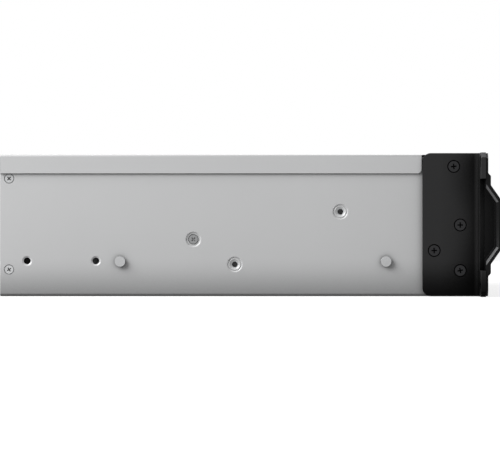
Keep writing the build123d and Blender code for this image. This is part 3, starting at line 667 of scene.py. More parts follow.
def is_slope(face):
    """Whether a face is a slope that the punch drew round a hole."""
    return near(face, DRAWN) and leans(face, 0.7, 0.97)


holes = []
for side in (-1, 1):
    for places, profile in KINDS:
        holes += [turned(profile, side, (side * HALF, y * MM, z * MM)) for y, z in places]
case_walls = carve(merged_copy("chassis_base", "case_walls"), holes, 24)
finish_piece(case_walls, "chassis", "case_grey", "chassis_base")
# The slopes take the lighter grey, a painted highlight.
second_finish(case_walls, highlit_rim_grey, is_slope)
print("case walls", len(case_walls.data.polygons), "faces, cut by", len(holes))

# %% [markdown]
# Behind each dimpled hole the drive cage has a hole of its own, so the eye looks past both
# sheets into the dark. The cage is a folded box: its edges are cut clean, not rounded.

# %% Drive cage
CAGE_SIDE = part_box("drive_cage")[1].x
CAGE_HOLE = mm([(1.75, -1.0), (1.75, 2.5)])
cage_holes = []
for side in (-1, 1):
    for y, z in DISHED_HOLES:
        cage_holes.append(turned(CAGE_HOLE, side, (side * CAGE_SIDE, y * MM, z * MM), 24))
cage = carve(merged_copy("drive_cage", "cage_walls"), cage_holes)
finish_piece(cage, "chassis", "galvanised", "drive_cage")
print("cage", len(cage.data.polygons), "faces")

# %% [markdown]
# The ears are thick steel angles in black, with four countersunk screws in each bracket.
# The handle is one moulding on the front of each ear. Both are softened copies. The edge of its
# finger gap is cut off at a slant, and the cuts and the ear's upper tips take a lighter grey, a
# painted highlight.

# %% Ears and handles
EAR_SCREWS = [(15.3, 35.8), (11.3, -0.2), (27.3, -15.9), (11.3, -28.2)]
EAR_OUTSIDE = HALF + 3 * MM
EAR_SINK = mm([(4.1, ABOVE), (4.0, -0.01), (3.92, 0.15), (3.92, 1.9)])
TIP_X, TIP_Z = 236 * MM, 39 * MM
SLANT_AREA = 8 * MM * MM
SLANT_RUN, UPRIGHT_RUN = 4 * MM, 20 * MM
FOOT_Y = -4 * MM
BAR_BACK, BAR_FRONT = -8 * MM, -10 * MM


def chamfer_grip(handle, width):
    """Cuts the outer edge of the finger gap along the bar's slanted and upright runs."""
    work = bmesh.new()
    work.from_mesh(handle.data)
    outer = max(abs(vert.co.x) for vert in work.verts)
    gap_edges = []
    for edge in work.edges:
        one, two = (vert.co for vert in edge.verts)
        run_y, run_z = abs(one.y - two.y), abs(one.z - two.z)
        outside = all(abs(abs(end.x) - outer) < 0.01 * MM for end in (one, two))
        slanted = min(run_y, run_z) > SLANT_RUN and max(one.y, two.y) > FOOT_Y
        upright = run_z > UPRIGHT_RUN and all(BAR_FRONT < end.y < BAR_BACK for end in (one, two))
        if outside and (slanted or upright):
            gap_edges.append(edge)
    bmesh.ops.bevel(work, geom=gap_edges, offset=width, segments=1, affect="EDGES")
    work.to_mesh(handle.data)
    work.free()


def is_slant(face):
    """Whether a face is one of the bar's slanted cuts or the corner at the top of a foot."""
    tilted = leans(face, 0.3, 0.95) and abs(face.normal.z) > 0.25
    return tilted and (face.area > SLANT_AREA or face.center.z > TIP_Z)


def is_tip(face):
    """Whether a face is in the rounded upper corner of an ear's flange."""
    at_end = face.center.z > TIP_Z and abs(face.center.x) > TIP_X
    return at_end and leans(face, 0.3, 0.96)


for side, hand in ((-1, "left"), (1, "right")):
    sinks = [turned(EAR_SINK, side, (side * EAR_OUTSIDE, y * MM, z * MM)) for y, z in EAR_SCREWS]
    ear = carve(rounded(f"ear_{hand}", f"rack_ear_{hand}", 0.35), sinks)
    finish_piece(ear, "chassis", "ear_black", f"ear_{hand}")
    # Painted highlight on the ear's upper tips.
    second_finish(ear, edge_highlight, is_tip)
    handle = merged_copy(f"handle_{hand}", f"moulded_handle_{hand}")
    chamfer_grip(handle, 1.5 * MM)
    soften(handle, 0.3 * MM)
    finish_piece(handle, "chassis", "handle_black", f"handle_{hand}")
    # Painted highlight on the grip's slanted cuts and the tops of its feet.
    second_finish(handle, edge_highlight, is_slant)
    print(ear.name, len(ear.data.polygons), handle.name, len(handle.data.polygons))

# %% [markdown]
# Screws repeat, so a Geometry Nodes tree makes them: a chamfered head with a cross recess,
# put on each point of a small guide mesh. Every point carries the turn of its own screw, so
# that one tree serves both sides of the case. Branch is the only way nodes are made in it.


# %% Geometry Nodes, in short
class Branch:
    """A Geometry Nodes tree with named inputs, built one node at a time."""

    def __init__(self, name, **sizes):
        self.tree = bpy.data.node_groups.new(name, "GeometryNodeTree")
        self.sizes = sizes
        face = self.tree.interface
        face.new_socket("Geometry", in_out="INPUT", socket_type="NodeSocketGeometry")
        self.identifiers = {}
        for label, value in sizes.items():
            kind = "NodeSocketInt" if isinstance(value, int) else "NodeSocketFloat"
            socket = face.new_socket(label, in_out="INPUT", socket_type=kind)
            socket.default_value = value
            self.identifiers[label] = socket.identifier
        face.new_socket("Geometry", in_out="OUTPUT", socket_type="NodeSocketGeometry")
        self.start = self.tree.nodes.new("NodeGroupInput")
        self.end = self.tree.nodes.new("NodeGroupOutput")

    def given(self, label):
        return self.start.outputs[label]

    def node(self, kind, settings=None, inputs=None, output=0):
        made = self.tree.nodes.new(kind)
        for key, value in (settings or {}).items():
            setattr(made, key, value)
        for key, value in (inputs or {}).items():
            values = value if isinstance(value, list) else [value]
            for each in values:
                if isinstance(each, bpy.types.NodeSocket):
                    self.tree.links.new(each, made.inputs[key])
                else:
                    made.inputs[key].default_value = each
        return made.outputs[output]

    def times(self, first, second):
        return self.node("ShaderNodeMath", {"operation": "MULTIPLY"}, {0: first, 1: second})

    def vector(self, **parts):
        return self.node("ShaderNodeCombineXYZ", {}, parts)

    def moved(self, geometry, **how):
        return self.node("GeometryNodeTransform", {}, {"Geometry": geometry, **how})

    def close(self, geometry, material):
        real = self.node("GeometryNodeRealizeInstances", {}, {"Geometry": geometry})
        painted = self.node("GeometryNodeSetMaterial", {}, {"Geometry": real, "Material": material})
        self.tree.links.new(painted, self.end.inputs[0])
        return self

    def grow(self, guide, **sizes):
        """Runs the tree on a guide object and leaves a plain mesh."""
        modifier = guide.modifiers.new("grow", "NODES")
        modifier.node_group = self.tree
        for label, value in {**self.sizes, **sizes}.items():
            modifier[self.identifiers[label]] = value
        return plain_mesh(guide)


# %% [markdown]
# The guide is a mesh of loose points. Besides its place, each point has a turn: the Euler
# angles that swing a screw from facing up to facing out of its own surface. One turn given
# alone serves every point.


# %% Guides for what repeats
def guide_of(name, points, turns, grow=None):
    mesh = bpy.data.meshes.new(name)
    mesh.from_pydata([tuple(point) for point in points], [], [])
    turn = mesh.attributes.new("turn", "FLOAT_VECTOR", "POINT")
    for index in range(len(points)):
        turn.data[index].vector = turns[index] if isinstance(turns, list) else turns
    size = mesh.attributes.new("grow", "FLOAT", "POINT")
    for index in range(len(points)):
        size.data[index].value = grow[index] if grow else 1.0
    return add_object(name, mesh)


def facing(direction, spin):
    """Euler angles that turn +Z to the direction, after a spin about it."""
    swing = Vector(direction).to_track_quat("Z", "Y")
    return (swing.to_matrix() @ Matrix.Rotation(spin, 3, "Z")).to_euler()


def point_value(branch, kind, name):
    return branch.node("GeometryNodeInputNamedAttribute", {"data_type": kind}, {"Name": name})


def on_points(branch, shape):
    inputs = {"Points": branch.given("Geometry"), "Instance": shape}
    inputs["Rotation"] = point_value(branch, "FLOAT_VECTOR", "turn")
    inputs["Scale"] = point_value(branch, "FLOAT", "grow")
    return branch.node("GeometryNodeInstanceOnPoints", {}, inputs)


# %% [markdown]
# One tree makes every flat-head screw of the object. The head is a cone cut off at its face,
# and two crossed bars are taken out of it for the driver. The sizes are inputs of the tree,
# so the same few nodes give the large black screws and the small ones on the drives.

# %% Flat-head screws
EAR_HEAD = (3.3, 1.8, 1.7, 0.42)
CASE_HEAD = (2.62, 1.0, 1.4, 0.34)
COVER_HEAD = (1.9, 0.8, 1.0, 0.28)
REAR_HEAD = (2.9, 1.1, 1.5, 0.36)


def flat_screw(material):
    """A screw head with its face on Z = 0 and its cone below, with a cross recess."""
    screw = Branch("flat_screw", Radius=3.3 * MM, Depth=1.8 * MM, Arm=1.7 * MM, Slot=0.42 * MM)
    radius, depth = screw.given("Radius"), screw.given("Depth")
    sizes = {"Vertices": 40, "Side Segments": 1, "Radius Top": radius, "Depth": depth}
    sizes["Radius Bottom"] = screw.times(radius, 0.8)
    cone = screw.node("GeometryNodeMeshCone", {}, sizes)
    head = screw.moved(cone, Translation=screw.vector(Z=screw.times(depth, -1.0)))
    length, breadth = (screw.times(screw.given(label), 2.0) for label in ("Arm", "Slot"))
    size = screw.vector(X=length, Y=breadth, Z=screw.times(depth, 1.6))
    bar = screw.node("GeometryNodeMeshCube", {}, {"Size": size})
    settings = {"operation": "DIFFERENCE", "solver": "EXACT"}
    for turn in (0.0, math.pi / 2):
        arm = screw.moved(bar, Rotation=(0.0, 0.0, turn))
        head = screw.node("GeometryNodeMeshBoolean", settings, {0: head, 1: arm})
    return screw.close(on_points(screw, head), material)


def screws(name, material, points, turns, head, grow=None):
    """Screw heads as one mesh. A head is its radius, depth, arm and half slot in millimetres."""
    sizes = dict(zip(("Radius", "Depth", "Arm", "Slot"), (size * MM for size in head)))
    return flat_screw(material).grow(guide_of(name, points, turns, grow), **sizes)


def side_screws(name, material, x, head, rows):
    """Screws on both sides, from rows of a place on the wall, a spin, a depth and a growth."""
    places, turns, grow = [], [], []
    for side in (-1, 1):
        for (y, z), spin, sunk, growth in rows:
            places.append((side * (x - sunk), y * MM, z * MM))
            turns.append(facing((side, 0, 0), spin))
            grow.append(growth)
    return screws(name, material, places, turns, head, grow)


# %% [markdown]
# Each ear is held by four black countersunk screws, and each side of the case by three plated ones.
# The one in the dimple is a little larger, sits deeper and takes a darker zinc, a painted shade of
# its dimple.

# %% Screws on the sides
SUNK = 0.12 * MM
ear_rows = [(spot, spin, SUNK, 1.0) for spot, spin in zip(EAR_SCREWS, (0.1, 0.0, 0.05, 0.2))]
black_screws = side_screws("ear_screw_heads", screw_black, EAR_OUTSIDE, EAR_HEAD, ear_rows)
finish_piece(black_screws, "chassis", "screw_black", "ear_screws")

case_rows = [(spot, spin, SUNK / 2, 1.0) for spot, spin in zip(REAR_SCREWS, (0.78, 0.6))]
case_rows.append((CAGE_SCREW, 0.8, 0.4 * MM, 1.06))
zinc_screws = side_screws("case_screw_heads", zinc, HALF, CASE_HEAD, case_rows)
finish_piece(zinc_screws, "chassis", "zinc", "chassis_screws")
# The screw in the dimple takes the darker zinc, a painted shade.
second_finish(zinc_screws, zinc_in_shade, lambda face: near(face, [CAGE_SCREW]))
print("screws", len(black_screws.data.polygons), len(zinc_screws.data.polygons))

# %% [markdown]
# The rail studs are turned pins with a flat head: the slide's keyhole slips over the head
# and drops behind it. They stand out of the wall and throw small shadows.

# %% Rail studs
STUD = mm([(2.6, -0.02), (2.6, -1.05), (2.95, -1.2), (3.25, -1.3), (3.25, -2.5), (3.15, -2.6)])
studs = [turned(STUD, side, (side * HALF, y * MM, z * MM)) for side in (-1, 1) for y, z in STUDS]
rail_pins = smooth_curves(solid_of("rail_pins", studs))
finish_piece(rail_pins, "chassis", "zinc", "rail_studs")
rail_pins.data.materials[0] = pin_zinc
print("rail pins", len(rail_pins.data.polygons))


# %% [markdown]
# The eight trays are one moulding used eight times, so each of its pieces is finished once,
# in the first bay, and copied to the others. A copy's mesh is moved, never its object.


# %% Copies for the eight bays
def slab(low, high):
    """Vertices and faces of a box between two corners in millimetres."""
    ends = (low, high)
    verts = [tuple(ends[bit][axis] * MM for axis, bit in enumerate(bits)) for bits in CORNERS]
    return verts, BOX_FACES


CORNERS = [(i, j, k) for i in (0, 1) for j in (0, 1) for k in (0, 1)]
BOX_FACES = [(0, 1, 3, 2), (4, 6, 7, 5), (0, 4, 5, 1), (2, 3, 7, 6), (0, 2, 6, 4), (1, 5, 7, 3)]
tray_low, tray_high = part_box("tray_1")
BAY_X = (tray_low.x + tray_high.x) / 2 / MM
BAY_Z = tray_low.z / MM
bay_shift = {number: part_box(f"tray_{number}")[0] - tray_low for number in range(1, 9)}


def bay_slab(x, y, z):
    """A box in the first bay, from three (low, high) pairs measured from the tray."""
    return slab((BAY_X + x[0], y[0], BAY_Z + z[0]), (BAY_X + x[1], y[1], BAY_Z + z[1]))


def for_each_bay(item, body, material_slot, node=None):
    for number, shift in bay_shift.items():
        mesh = item.data.copy()
        mesh.transform(Matrix.Translation(shift))
        copy = add_object(f"{item.name}_{number}", mesh)
        stands_for = [f"{node}_{number}"] if node else []
        finish_piece(copy, f"{body}_{number}", material_slot, *stands_for)
    bpy.data.objects.remove(item)


print("bays", len(bay_shift), "first at", round(BAY_X, 2), round(BAY_Z, 2))

# %% [markdown]
# A tray's face is moulded with a deep recess for its lever. Each corner is rounded a little,
# and two small pockets beside the release button take the drive's status lamps.

# %% Tray mouldings and status lamps
LAMP_X = (49.3, 50.9)
LAMP_ROWS = [(19.4, 22.2), (14.6, 17.4)]
POCKET_X = (LAMP_X[0] - 0.1, LAMP_X[1] + 0.1)
pockets = [bay_slab(POCKET_X, (-5.0, -3.0), (low - 0.1, high + 0.1)) for low, high in LAMP_ROWS]
for_each_bay(carve(rounded("tray_1", "tray_body"), pockets), "tray", "tray_black", "tray")
lenses = solid_of("status_lamps", [bay_slab(LAMP_X, (-3.95, -3.02), row) for row in LAMP_ROWS])
for_each_bay(soften(lenses, 0.2 * MM), "tray", "lamp_clear")
print("status lamps", len(LAMP_ROWS), "in each tray")

# %% [markdown]
# Air reaches the drive through a honeycomb set into the tray's two windows. It repeats
# hundreds of times, so a small tree puts a six-sided ring on each point of a hexagonal grid.


# %% Honeycomb in the tray windows
def hex_grid(width, height, pitch):
    """Places of a hexagonal grid centred in a rectangle, in its own units."""
    rise = pitch * math.sqrt(3) / 2
    rows = int((height - pitch) / rise) + 1
    places = []
    for row in range(rows):
        count = int((width - pitch * (1 + (row % 2) / 2)) / pitch) + 1
        span = (count - 1) * pitch
        up = (row - (rows - 1) / 2) * rise
        places += [(index * pitch - span / 2, up) for index in range(count)]
    return places


def honeycomb(material):
    comb = Branch("honeycomb", Cell=2.0 * MM, Wall=0.4 * MM, Depth=1.6 * MM)
    hexagon = {"Resolution": 6, "Radius": comb.given("Cell")}
    outline = comb.node("GeometryNodeCurvePrimitiveCircle", {}, hexagon)
    wall = {"Width": comb.given("Wall"), "Height": comb.given("Depth")}
    section = comb.node("GeometryNodeCurvePrimitiveQuadrilateral", {}, wall)
    ring = comb.node("GeometryNodeCurveToMesh", {}, {"Curve": outline, "Profile Curve": section})
    return comb.close(on_points(comb, ring), material)


PITCH = 3.3
WINDOWS = [-17.8, 16.2]
WINDOW_SIZE = (32.0, 13.0)
COMB_Y, COMB_Z = 2.6, 17.0
places = []
for middle in WINDOWS:
    for x, z in hex_grid(*WINDOW_SIZE, PITCH):
        places.append(((BAY_X + middle + x) * MM, COMB_Y * MM, (BAY_Z + COMB_Z + z) * MM))
cells = guide_of("tray_comb", places, facing((0, -1, 0), math.pi / 6))
comb = honeycomb(tray_black).grow(cells, Cell=(PITCH - 0.42) / math.sqrt(3) * MM)
print("honeycomb", len(places), "cells,", len(comb.data.polygons), "faces in each tray")
for_each_bay(comb, "tray", "tray_black")

# %% [markdown]
# The lever swings out of its recess and pulls the tray off the backplane. Fine grooves across
# its free end give the finger a hold. The release button beside it is a softer grey.

# %% Levers and release buttons
GROOVES_X = (21.0, 23.4, 25.8, 28.2, 30.6)
grooves = [bay_slab((x, x + 0.9), (-5.0, -3.5), (11.0, 23.0)) for x in GROOVES_X]
for_each_bay(carve(rounded("latch_1", "lever"), grooves), "latch", "lever_grey", "latch")
for_each_bay(rounded("release_1", "release_cap", 0.3, 3), "release", "release_grey", "release")
print("grooves", len(grooves), "in each lever")

# %% [markdown]
# A 3.5-inch drive has a cast base and a thin cover, with a shallow ring over its spindle, a
# smaller one over the arm's pivot, and a screw in each corner and halfway. Nothing is printed
# on it here.

# %% Drives
DRIVE_TOP = (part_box("drive_1")[1].z - tray_low.z) / MM


def ring_groove(x, y, radius, breadth=1.2, depth=0.35, steps=48):
    """A square ring that cuts a shallow groove into the top of the first bay's drive."""
    verts, faces = [], []
    for reach in (radius - breadth, radius):
        for z in (DRIVE_TOP - depth, DRIVE_TOP + 1.0):
            for step in range(steps):
                angle = math.tau * step / steps
                across, along = reach * math.cos(angle), reach * math.sin(angle)
                verts.append(((BAY_X + x + across) * MM, (y + along) * MM, (BAY_Z + z) * MM))
    for step in range(steps):
        after = (step + 1) % steps
        for one, two in ((0, 1), (1, 3), (3, 2), (2, 0)):
            one, two = one * steps, two * steps
            faces.append((one + step, one + after, two + after, two + step))
    return verts, faces


rings = [ring_groove(0.0, 110.0, 31.0), ring_groove(30.0, 42.0, 8.0)]
for_each_bay(carve(rounded("drive_1", "drive_case", 0.25), rings), "tray", "drive_metal", "drive")
cover_z = (BAY_Z + DRIVE_TOP - 0.02) * MM
places = [((BAY_X + x) * MM, y * MM, cover_z) for x in (-44.0, 44.0) for y in (22.0, 89.0, 156.0)]
cover_screws = screws("cover_screws", zinc, places, facing((0, 0, 1), 0.4), COVER_HEAD)
for_each_bay(cover_screws, "tray", "zinc")
print("drive screws", len(places), "in each bay")

# %% [markdown]
# The strip above the bays is folded from the same black sheet as the ears. Eight light pipes
# show which bay is at work, and the power button has the usual ring and bar, raised on it.
# The backplane's sockets are black mouldings, and the power inlet has three plated blades.

# %% Pieces that are only softened
BOARD_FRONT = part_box("backplane")[1].y - 1.65 * MM
inlet_low, inlet_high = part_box("power_inlet")
BLADES = [(-7.0, -2.0), (0.0, 2.0), (7.0, -2.0)]
BLADE_HALF = (2.1, 1.1)
BLADE_AREA = 60 * MM * MM


def is_contact(face):
    """Whether a face belongs to one of the inlet's three flat blades."""
    spot = (face.center - (inlet_low + inlet_high) / 2) / MM
    reach_x, reach_z = BLADE_HALF
    on_blade = any(abs(spot.x - x) < reach_x and abs(spot.z - z) < reach_z for x, z in BLADES)
    return on_blade and face.area < BLADE_AREA


for node, name, width, segments, body, slot in (
    ("front_frame", "front_strip", 0.2, 2, "chassis", "ear_black"),
    ("light_pipes", "light_rods", 0.15, 2, "chassis", "lamp_clear"),
    ("power_button", "button_cap", 0.4, 3, "power_button", "button_grey"),
    ("lid", "lid_sheet", 0.3, 2, "lid", "case_grey"),
    ("slot_cover", "card_slot_plate", 0.15, 1, "chassis", "galvanised"),
    ("heatsink", "fin_block", 0.15, 1, "chassis", "sink_metal"),
    ("power_supply", "supply_case", 0.35, 2, "chassis", "galvanised"),
    ("power_inlet", "inlet_shell", 0.25, 2, "chassis", "inlet_black"),
    ("port_block", "port_shells", 0.12, 1, "chassis", "port_metal"),
    ("backplane", "drive_board", 0.1, 1, "chassis", "board_green"),
):
    piece = finish_piece(rounded(node, name, width, segments), body, slot, node)
    if node == "backplane":
        second_finish(piece, tray_black, lambda face: face.center.y < BOARD_FRONT)
    if node == "power_inlet":
        second_finish(piece, zinc, is_contact)
    print(name, len(piece.data.polygons), "faces")

# %% [markdown]
# The sign on the power button is the usual ring with a bar in its gap. It stands a hair out
# of the cap, like clear plastic that a lamp behind it lights.

# %% Sign on the power button
button_low, button_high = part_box("power_button")
middle = (button_low + button_high) / 2


def power_sign(radius, stroke, depth, gap=0.7, steps=28):
    """A ring, open at its top, and an upright bar, standing out of the button."""
    verts, faces = [], []
    for step in range(steps + 1):
        angle = math.pi / 2 + gap + (math.tau - 2 * gap) * step / steps
        for reach in (radius - stroke / 2, radius + stroke / 2):
            for y in (0.0, -depth):
                verts.append((reach * math.cos(angle), y, reach * math.sin(angle)))
    for step in range(steps):
        here = 4 * step
        for one, two in ((0, 1), (1, 3), (3, 2), (2, 0)):
            faces.append((here + one, here + two, here + 4 + two, here + 4 + one))
    faces += [(0, 1, 3, 2), tuple(4 * steps + index for index in (2, 3, 1, 0))]
    bar = slab((-stroke / 2 / MM, -depth / MM, 0.0), (stroke / 2 / MM, 0.0, radius * 1.15 / MM))
    return [(verts, faces), bar]


sign = solid_of("power_sign", power_sign(1.8 * MM, 0.42 * MM, 0.06 * MM))
sign.data.transform(Matrix.Translation((middle.x, button_low.y + 0.01 * MM, middle.z - 0.1 * MM)))
finish_piece(sign, "power_button", "lamp_clear")
print("power sign", len(sign.data.polygons), "faces")

# %% [markdown]
# The rear panel is punched: hexagonal holes over the ports let air out above the mainboard.
# A tree makes the punches as six-sided rods, and one cut takes them all out of the sheet.
# The upper fan screws sit a little lower than a fan's own holes, clear of the lid's lip.

# %% Rear panel
PANEL_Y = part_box("rear_panel")[1].y
VENT_MIDDLE = (-150.0, 8.0)
VENT_SIZE = (106.0, 38.0)
VENT_PITCH = 5.2


def punches(material):
    rods = Branch("punches", Radius=2.1 * MM, Depth=6.0 * MM)
    sizes = {"Vertices": 6, "Radius": rods.given("Radius"), "Depth": rods.given("Depth")}
    rod = rods.node("GeometryNodeMeshCylinder", {}, sizes)
    return rods.close(on_points(rods, rod), material)


places = []
for x, z in hex_grid(*VENT_SIZE, VENT_PITCH):
    places.append(((VENT_MIDDLE[0] + x) * MM, PANEL_Y, (VENT_MIDDLE[1] + z) * MM))
rods = punches(galvanised).grow(guide_of("vent_rods", places, facing((0, 1, 0), math.pi / 6)))
rods.data.materials.clear()
fans_low, fans_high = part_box("fan_frames")
FAN_SIZE = fans_high.z - fans_low.z
FAN_Z = (fans_high.z + fans_low.z) / 2
fan_middles = [fans_low.x + FAN_SIZE / 2, fans_high.x - FAN_SIZE / 2]
supply_low, supply_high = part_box("power_supply")
SCREW_REACH = 35.75 * MM
UPPER_DROP = 8 * MM
SUPPLY_INSET = 8 * MM
REAR_SINK = mm([(3.25, ABOVE), (3.2, -0.01), (3.1, 0.1), (3.1, 0.9)])
fan_sides = [x + i * SCREW_REACH for x in fan_middles for i in (-1, 1)]
screw_spots = [(x, FAN_Z - SCREW_REACH) for x in fan_sides]
screw_spots += [(x, FAN_Z + SCREW_REACH - UPPER_DROP) for x in fan_sides]
supply_sides = (supply_low.x + SUPPLY_INSET, supply_high.x - SUPPLY_INSET)
screw_spots += [(x, supply_high.z + 4 * MM) for x in supply_sides]
sinks = [at_rear(turned(REAR_SINK, 1, turns=28), (x, PANEL_Y, z)) for x, z in screw_spots]
panel = carve(cut_away(rounded("rear_panel", "punched_panel", 0.15, 1), rods), sinks)
finish_piece(panel, "chassis", "galvanised", "rear_panel")
print("panel", len(panel.data.polygons), "faces,", len(places), "holes")

# %% [markdown]
# Screws hold the fans and the power supply to the panel. They use the same tree as the
# screws on the sides, turned to face the rear.

# %% Rear screws
points = [(x, PANEL_Y - 0.05 * MM, z) for x, z in screw_spots]
turns = [facing((0, 1, 0), 0.3 + 0.4 * (index % 3)) for index in range(len(points))]
rear_screws = screws("panel_screws", zinc, points, turns, REAR_HEAD)
finish_piece(rear_screws, "chassis", "zinc")
print("rear screws", len(points))

# %% [markdown]
# A fan wheel is moulded in one piece: a drum over the motor, and blades that twist and lean
# as they go outwards. Each blade is a curved sheet between two grids of points.


# %% Fan wheels
def to_rear(item, place):
    """Turns what was made along +X to face the rear, and puts it in its place."""
    item.data.transform(Matrix.Translation(place) @ REAR_TURN)
    return item


def blade(start, hub, tip, depth, spread, rows=6, columns=7, sheet=1.1 * MM):
    verts, faces = [], []
    for side in (-1, 1):
        for row in range(rows + 1):
            out = row / rows
            radius = hub + (tip - hub) * out
            lean = 0.32 * out**1.5
            for column in range(columns + 1):
                along = column / columns - 0.5
                angle = start + lean + along * spread * (1 - 0.12 * out)
                rise = depth * along * (0.86 - 0.34 * out) + side * sheet / 2
                verts.append((rise, radius * math.cos(angle), radius * math.sin(angle)))
    half = (rows + 1) * (columns + 1)
    for row in range(rows):
        for column in range(columns):
            a = row * (columns + 1) + column
            b = a + columns + 1
            faces += [(a, a + 1, b + 1, b), (half + a, half + b, half + b + 1, half + a + 1)]
    border = list(range(columns + 1))
    border += [(row + 1) * (columns + 1) + columns for row in range(rows)]
    border += [rows * (columns + 1) + column for column in reversed(range(columns))]
    border += [row * (columns + 1) for row in reversed(range(1, rows))]
    for here, there in zip(border, border[1:] + border[:1]):
        faces.append((here, half + here, half + there, there))
    return verts, faces


def fan_wheel(node, name, hub, tip, blades=5):
    low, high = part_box(node)
    half = (high.y - low.y) / 2
    drum = [(hub - 1.5 * MM, -half), (hub, 1.2 * MM - half), (hub, half), (hub - 4 * MM, half)]
    shapes = [turned(drum, 1, turns=48)]
    for step in range(blades):
        shapes.append(blade(math.tau * step / blades, hub - 1.0 * MM, tip, 2 * half, 0.82))
    wheel = to_rear(solid_of(name, shapes), (low + high) / 2)
    smooth_curves(wheel, 40)
    return finish_piece(wheel, node.replace("_rotor", ""), "fan_black", node)


for node, name, hub, tip in (
    ("fan_rotor_left", "fan_wheel_left", 17 * MM, 36.3 * MM),
    ("fan_rotor_right", "fan_wheel_right", 17 * MM, 36.3 * MM),
    ("psu_fan_rotor", "supply_wheel", 13 * MM, 25.3 * MM),
):
    wheel = fan_wheel(node, name, hub, tip)
    print(name, len(wheel.data.polygons), "faces")

# %% [markdown]
# The square frames of the two case fans are one softened piece, and the bolt holes in their
# corners go right through.

# %% Fan frames
BOLT_HOLE = mm([(2.15, -1.0), (2.15, 27.0)])
bolt_holes = []
for x in fan_sides:
    for z in (FAN_Z - SCREW_REACH, FAN_Z + SCREW_REACH):
        bolt_holes.append(at_rear(turned(BOLT_HOLE, -1, turns=20), (x, fans_low.y, z)))
frames = carve(rounded("fan_frames", "fan_ducts"), bolt_holes)
finish_piece(frames, "chassis", "fan_black", "fan_frames")
print("fan frames", len(frames.data.polygons), "faces, bolt holes", len(bolt_holes))

# %% [markdown]
# The lid is held by two thumbscrews that a hand can turn. Their heads are knurled: every
# second point round the grip is set in, and a cross slot takes a driver as well.

# %% Thumbscrews
SHANK = [(2.0, 7.0), (2.0, 0.0), (3.6, 0.0), (3.9, -0.4), (3.9, -1.2)]
KNOB = mm(SHANK + [(4.5, -1.7), (4.5, -5.6), (4.1, -6.2), (3.0, -6.5)])
KNOB_LENGTH = 6.5 * MM
KNURL_FROM = 4.3 * MM
KNURLS = 72


def thumbscrew(side, place):
    verts, faces = turned(KNOB, 1, turns=KNURLS)
    for index, (x, y, z) in enumerate(verts):
        if index % 2 and math.hypot(y, z) > KNURL_FROM:
            verts[index] = (x, y * 0.94, z * 0.94)
    knob = solid_of(f"thumb_knob_{side}", [(verts, faces)])
    for y, z in ((2.2, 0.45), (0.45, 2.2)):
        cut_away(knob, solid_of("slot_cutter", [slab((4.9, -y, -z), (7.5, y, z))]))
    to_rear(smooth_curves(knob, 24), place)
    return finish_piece(knob, f"thumbscrew_{side}", "zinc", f"lid_thumbscrew_{side}")


for side in ("left", "right"):
    low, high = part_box(f"lid_thumbscrew_{side}")
    knob = thumbscrew(side, ((low.x + high.x) / 2, high.y - KNOB_LENGTH, (low.z + high.z) / 2))
    print(knob.name, len(knob.data.polygons), "faces")

# %% [markdown]
# Inside the sockets are the parts that make them sockets: eight gilt contacts in each network
# port, two small lamps over it, and a tongue in the video port.

# %% Contacts, lamps and tongue of the ports
ports_low, ports_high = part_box("port_block")
SOCKET_X = [ports_low.x / MM + 8.0 + 16.0 * index for index in range(4)]
PORT_Y = ports_high.y / MM
BOARD_TOP = ports_low.z / MM
PIN_PITCH = 1.02
VIDEO_X = ports_high.x / MM - 9.0


def bars(material):
    bar = Branch("bars", Width=0.5 * MM, Length=7.0 * MM, Height=0.25 * MM)
    size = bar.vector(X=bar.given("Width"), Y=bar.given("Height"), Z=bar.given("Length"))
    cube = bar.node("GeometryNodeMeshCube", {}, {"Size": size})
    return bar.close(on_points(bar, cube), material)


def by_port(x, half, y, z):
    """A box round x, from two depths behind the ports' face and two heights over the board."""
    low, high = ((PORT_Y + y[end], BOARD_TOP + z[end]) for end in (0, 1))
    return slab((x - half, *low), (x + half, *high))


gilt = plated("gilt", (0.78, 0.56, 0.24), 0.25)
pins = [x + PIN_PITCH * (pin - 3.5) for x in SOCKET_X for pin in range(8)]
places = [(x * MM, (PORT_Y - 6.0) * MM, (BOARD_TOP + 3.1) * MM) for x in pins]
contacts = bars(gilt).grow(guide_of("port_contacts", places, facing((0, 1, 0.32), 0.0)))
finish_piece(contacts, "chassis", "port_metal")
paint(contacts, gilt)
lamp_x = [x + i * 4.9 for x in SOCKET_X for i in (-1, 1)]
lamps = [by_port(x, 1.2, (-0.4, 0.08), (12.0, 13.8)) for x in lamp_x]
finish_piece(soften(solid_of("port_lamps", lamps), 0.2 * MM), "chassis", "lamp_clear")
blade_of_tongue = by_port(VIDEO_X, 5.2, (-11.8, -1.5), (3.3, 4.7))
foot_of_tongue = by_port(VIDEO_X, 6.8, (-11.9, -10.6), (1.8, 6.2))
tongue = solid_of("video_tongue", [blade_of_tongue, foot_of_tongue])
finish_piece(soften(tongue, 0.15 * MM), "chassis", "inlet_black")
print("contacts", len(contacts.data.polygons), "faces")

# %% [markdown]
# With the lid off, the mainboard shows. Its parts are made by kind: chips as flat bevelled
# blocks, and capacitors by a tree that puts a small can on each point.

# %% Mainboard and its parts
CHIPS = [
    ((-103, 212), (12, 12), 1.4), ((-103, 232), (14, 14), 1.6), ((-101, 252), (8, 6), 1.1),
    ((-183, 266), (7, 7), 1.0), ((-200, 262), (10, 10), 1.2), ((-90, 270), (6, 9), 1.1),
    ((-120, 276), (7, 7), 1.0), ((-96, 200), (5, 4), 1.0),
]
COILS = [(-181, 212 + 9 * index) for index in range(5)]
SUNK_IN = -0.05


def block(x, y, width, length, low, high):
    """A box centred on (x, y), between two heights over the board, in millimetres."""
    near_corner = (x - width / 2, y - length / 2, BOARD_TOP + low)
    return slab(near_corner, (x + width / 2, y + length / 2, BOARD_TOP + high))


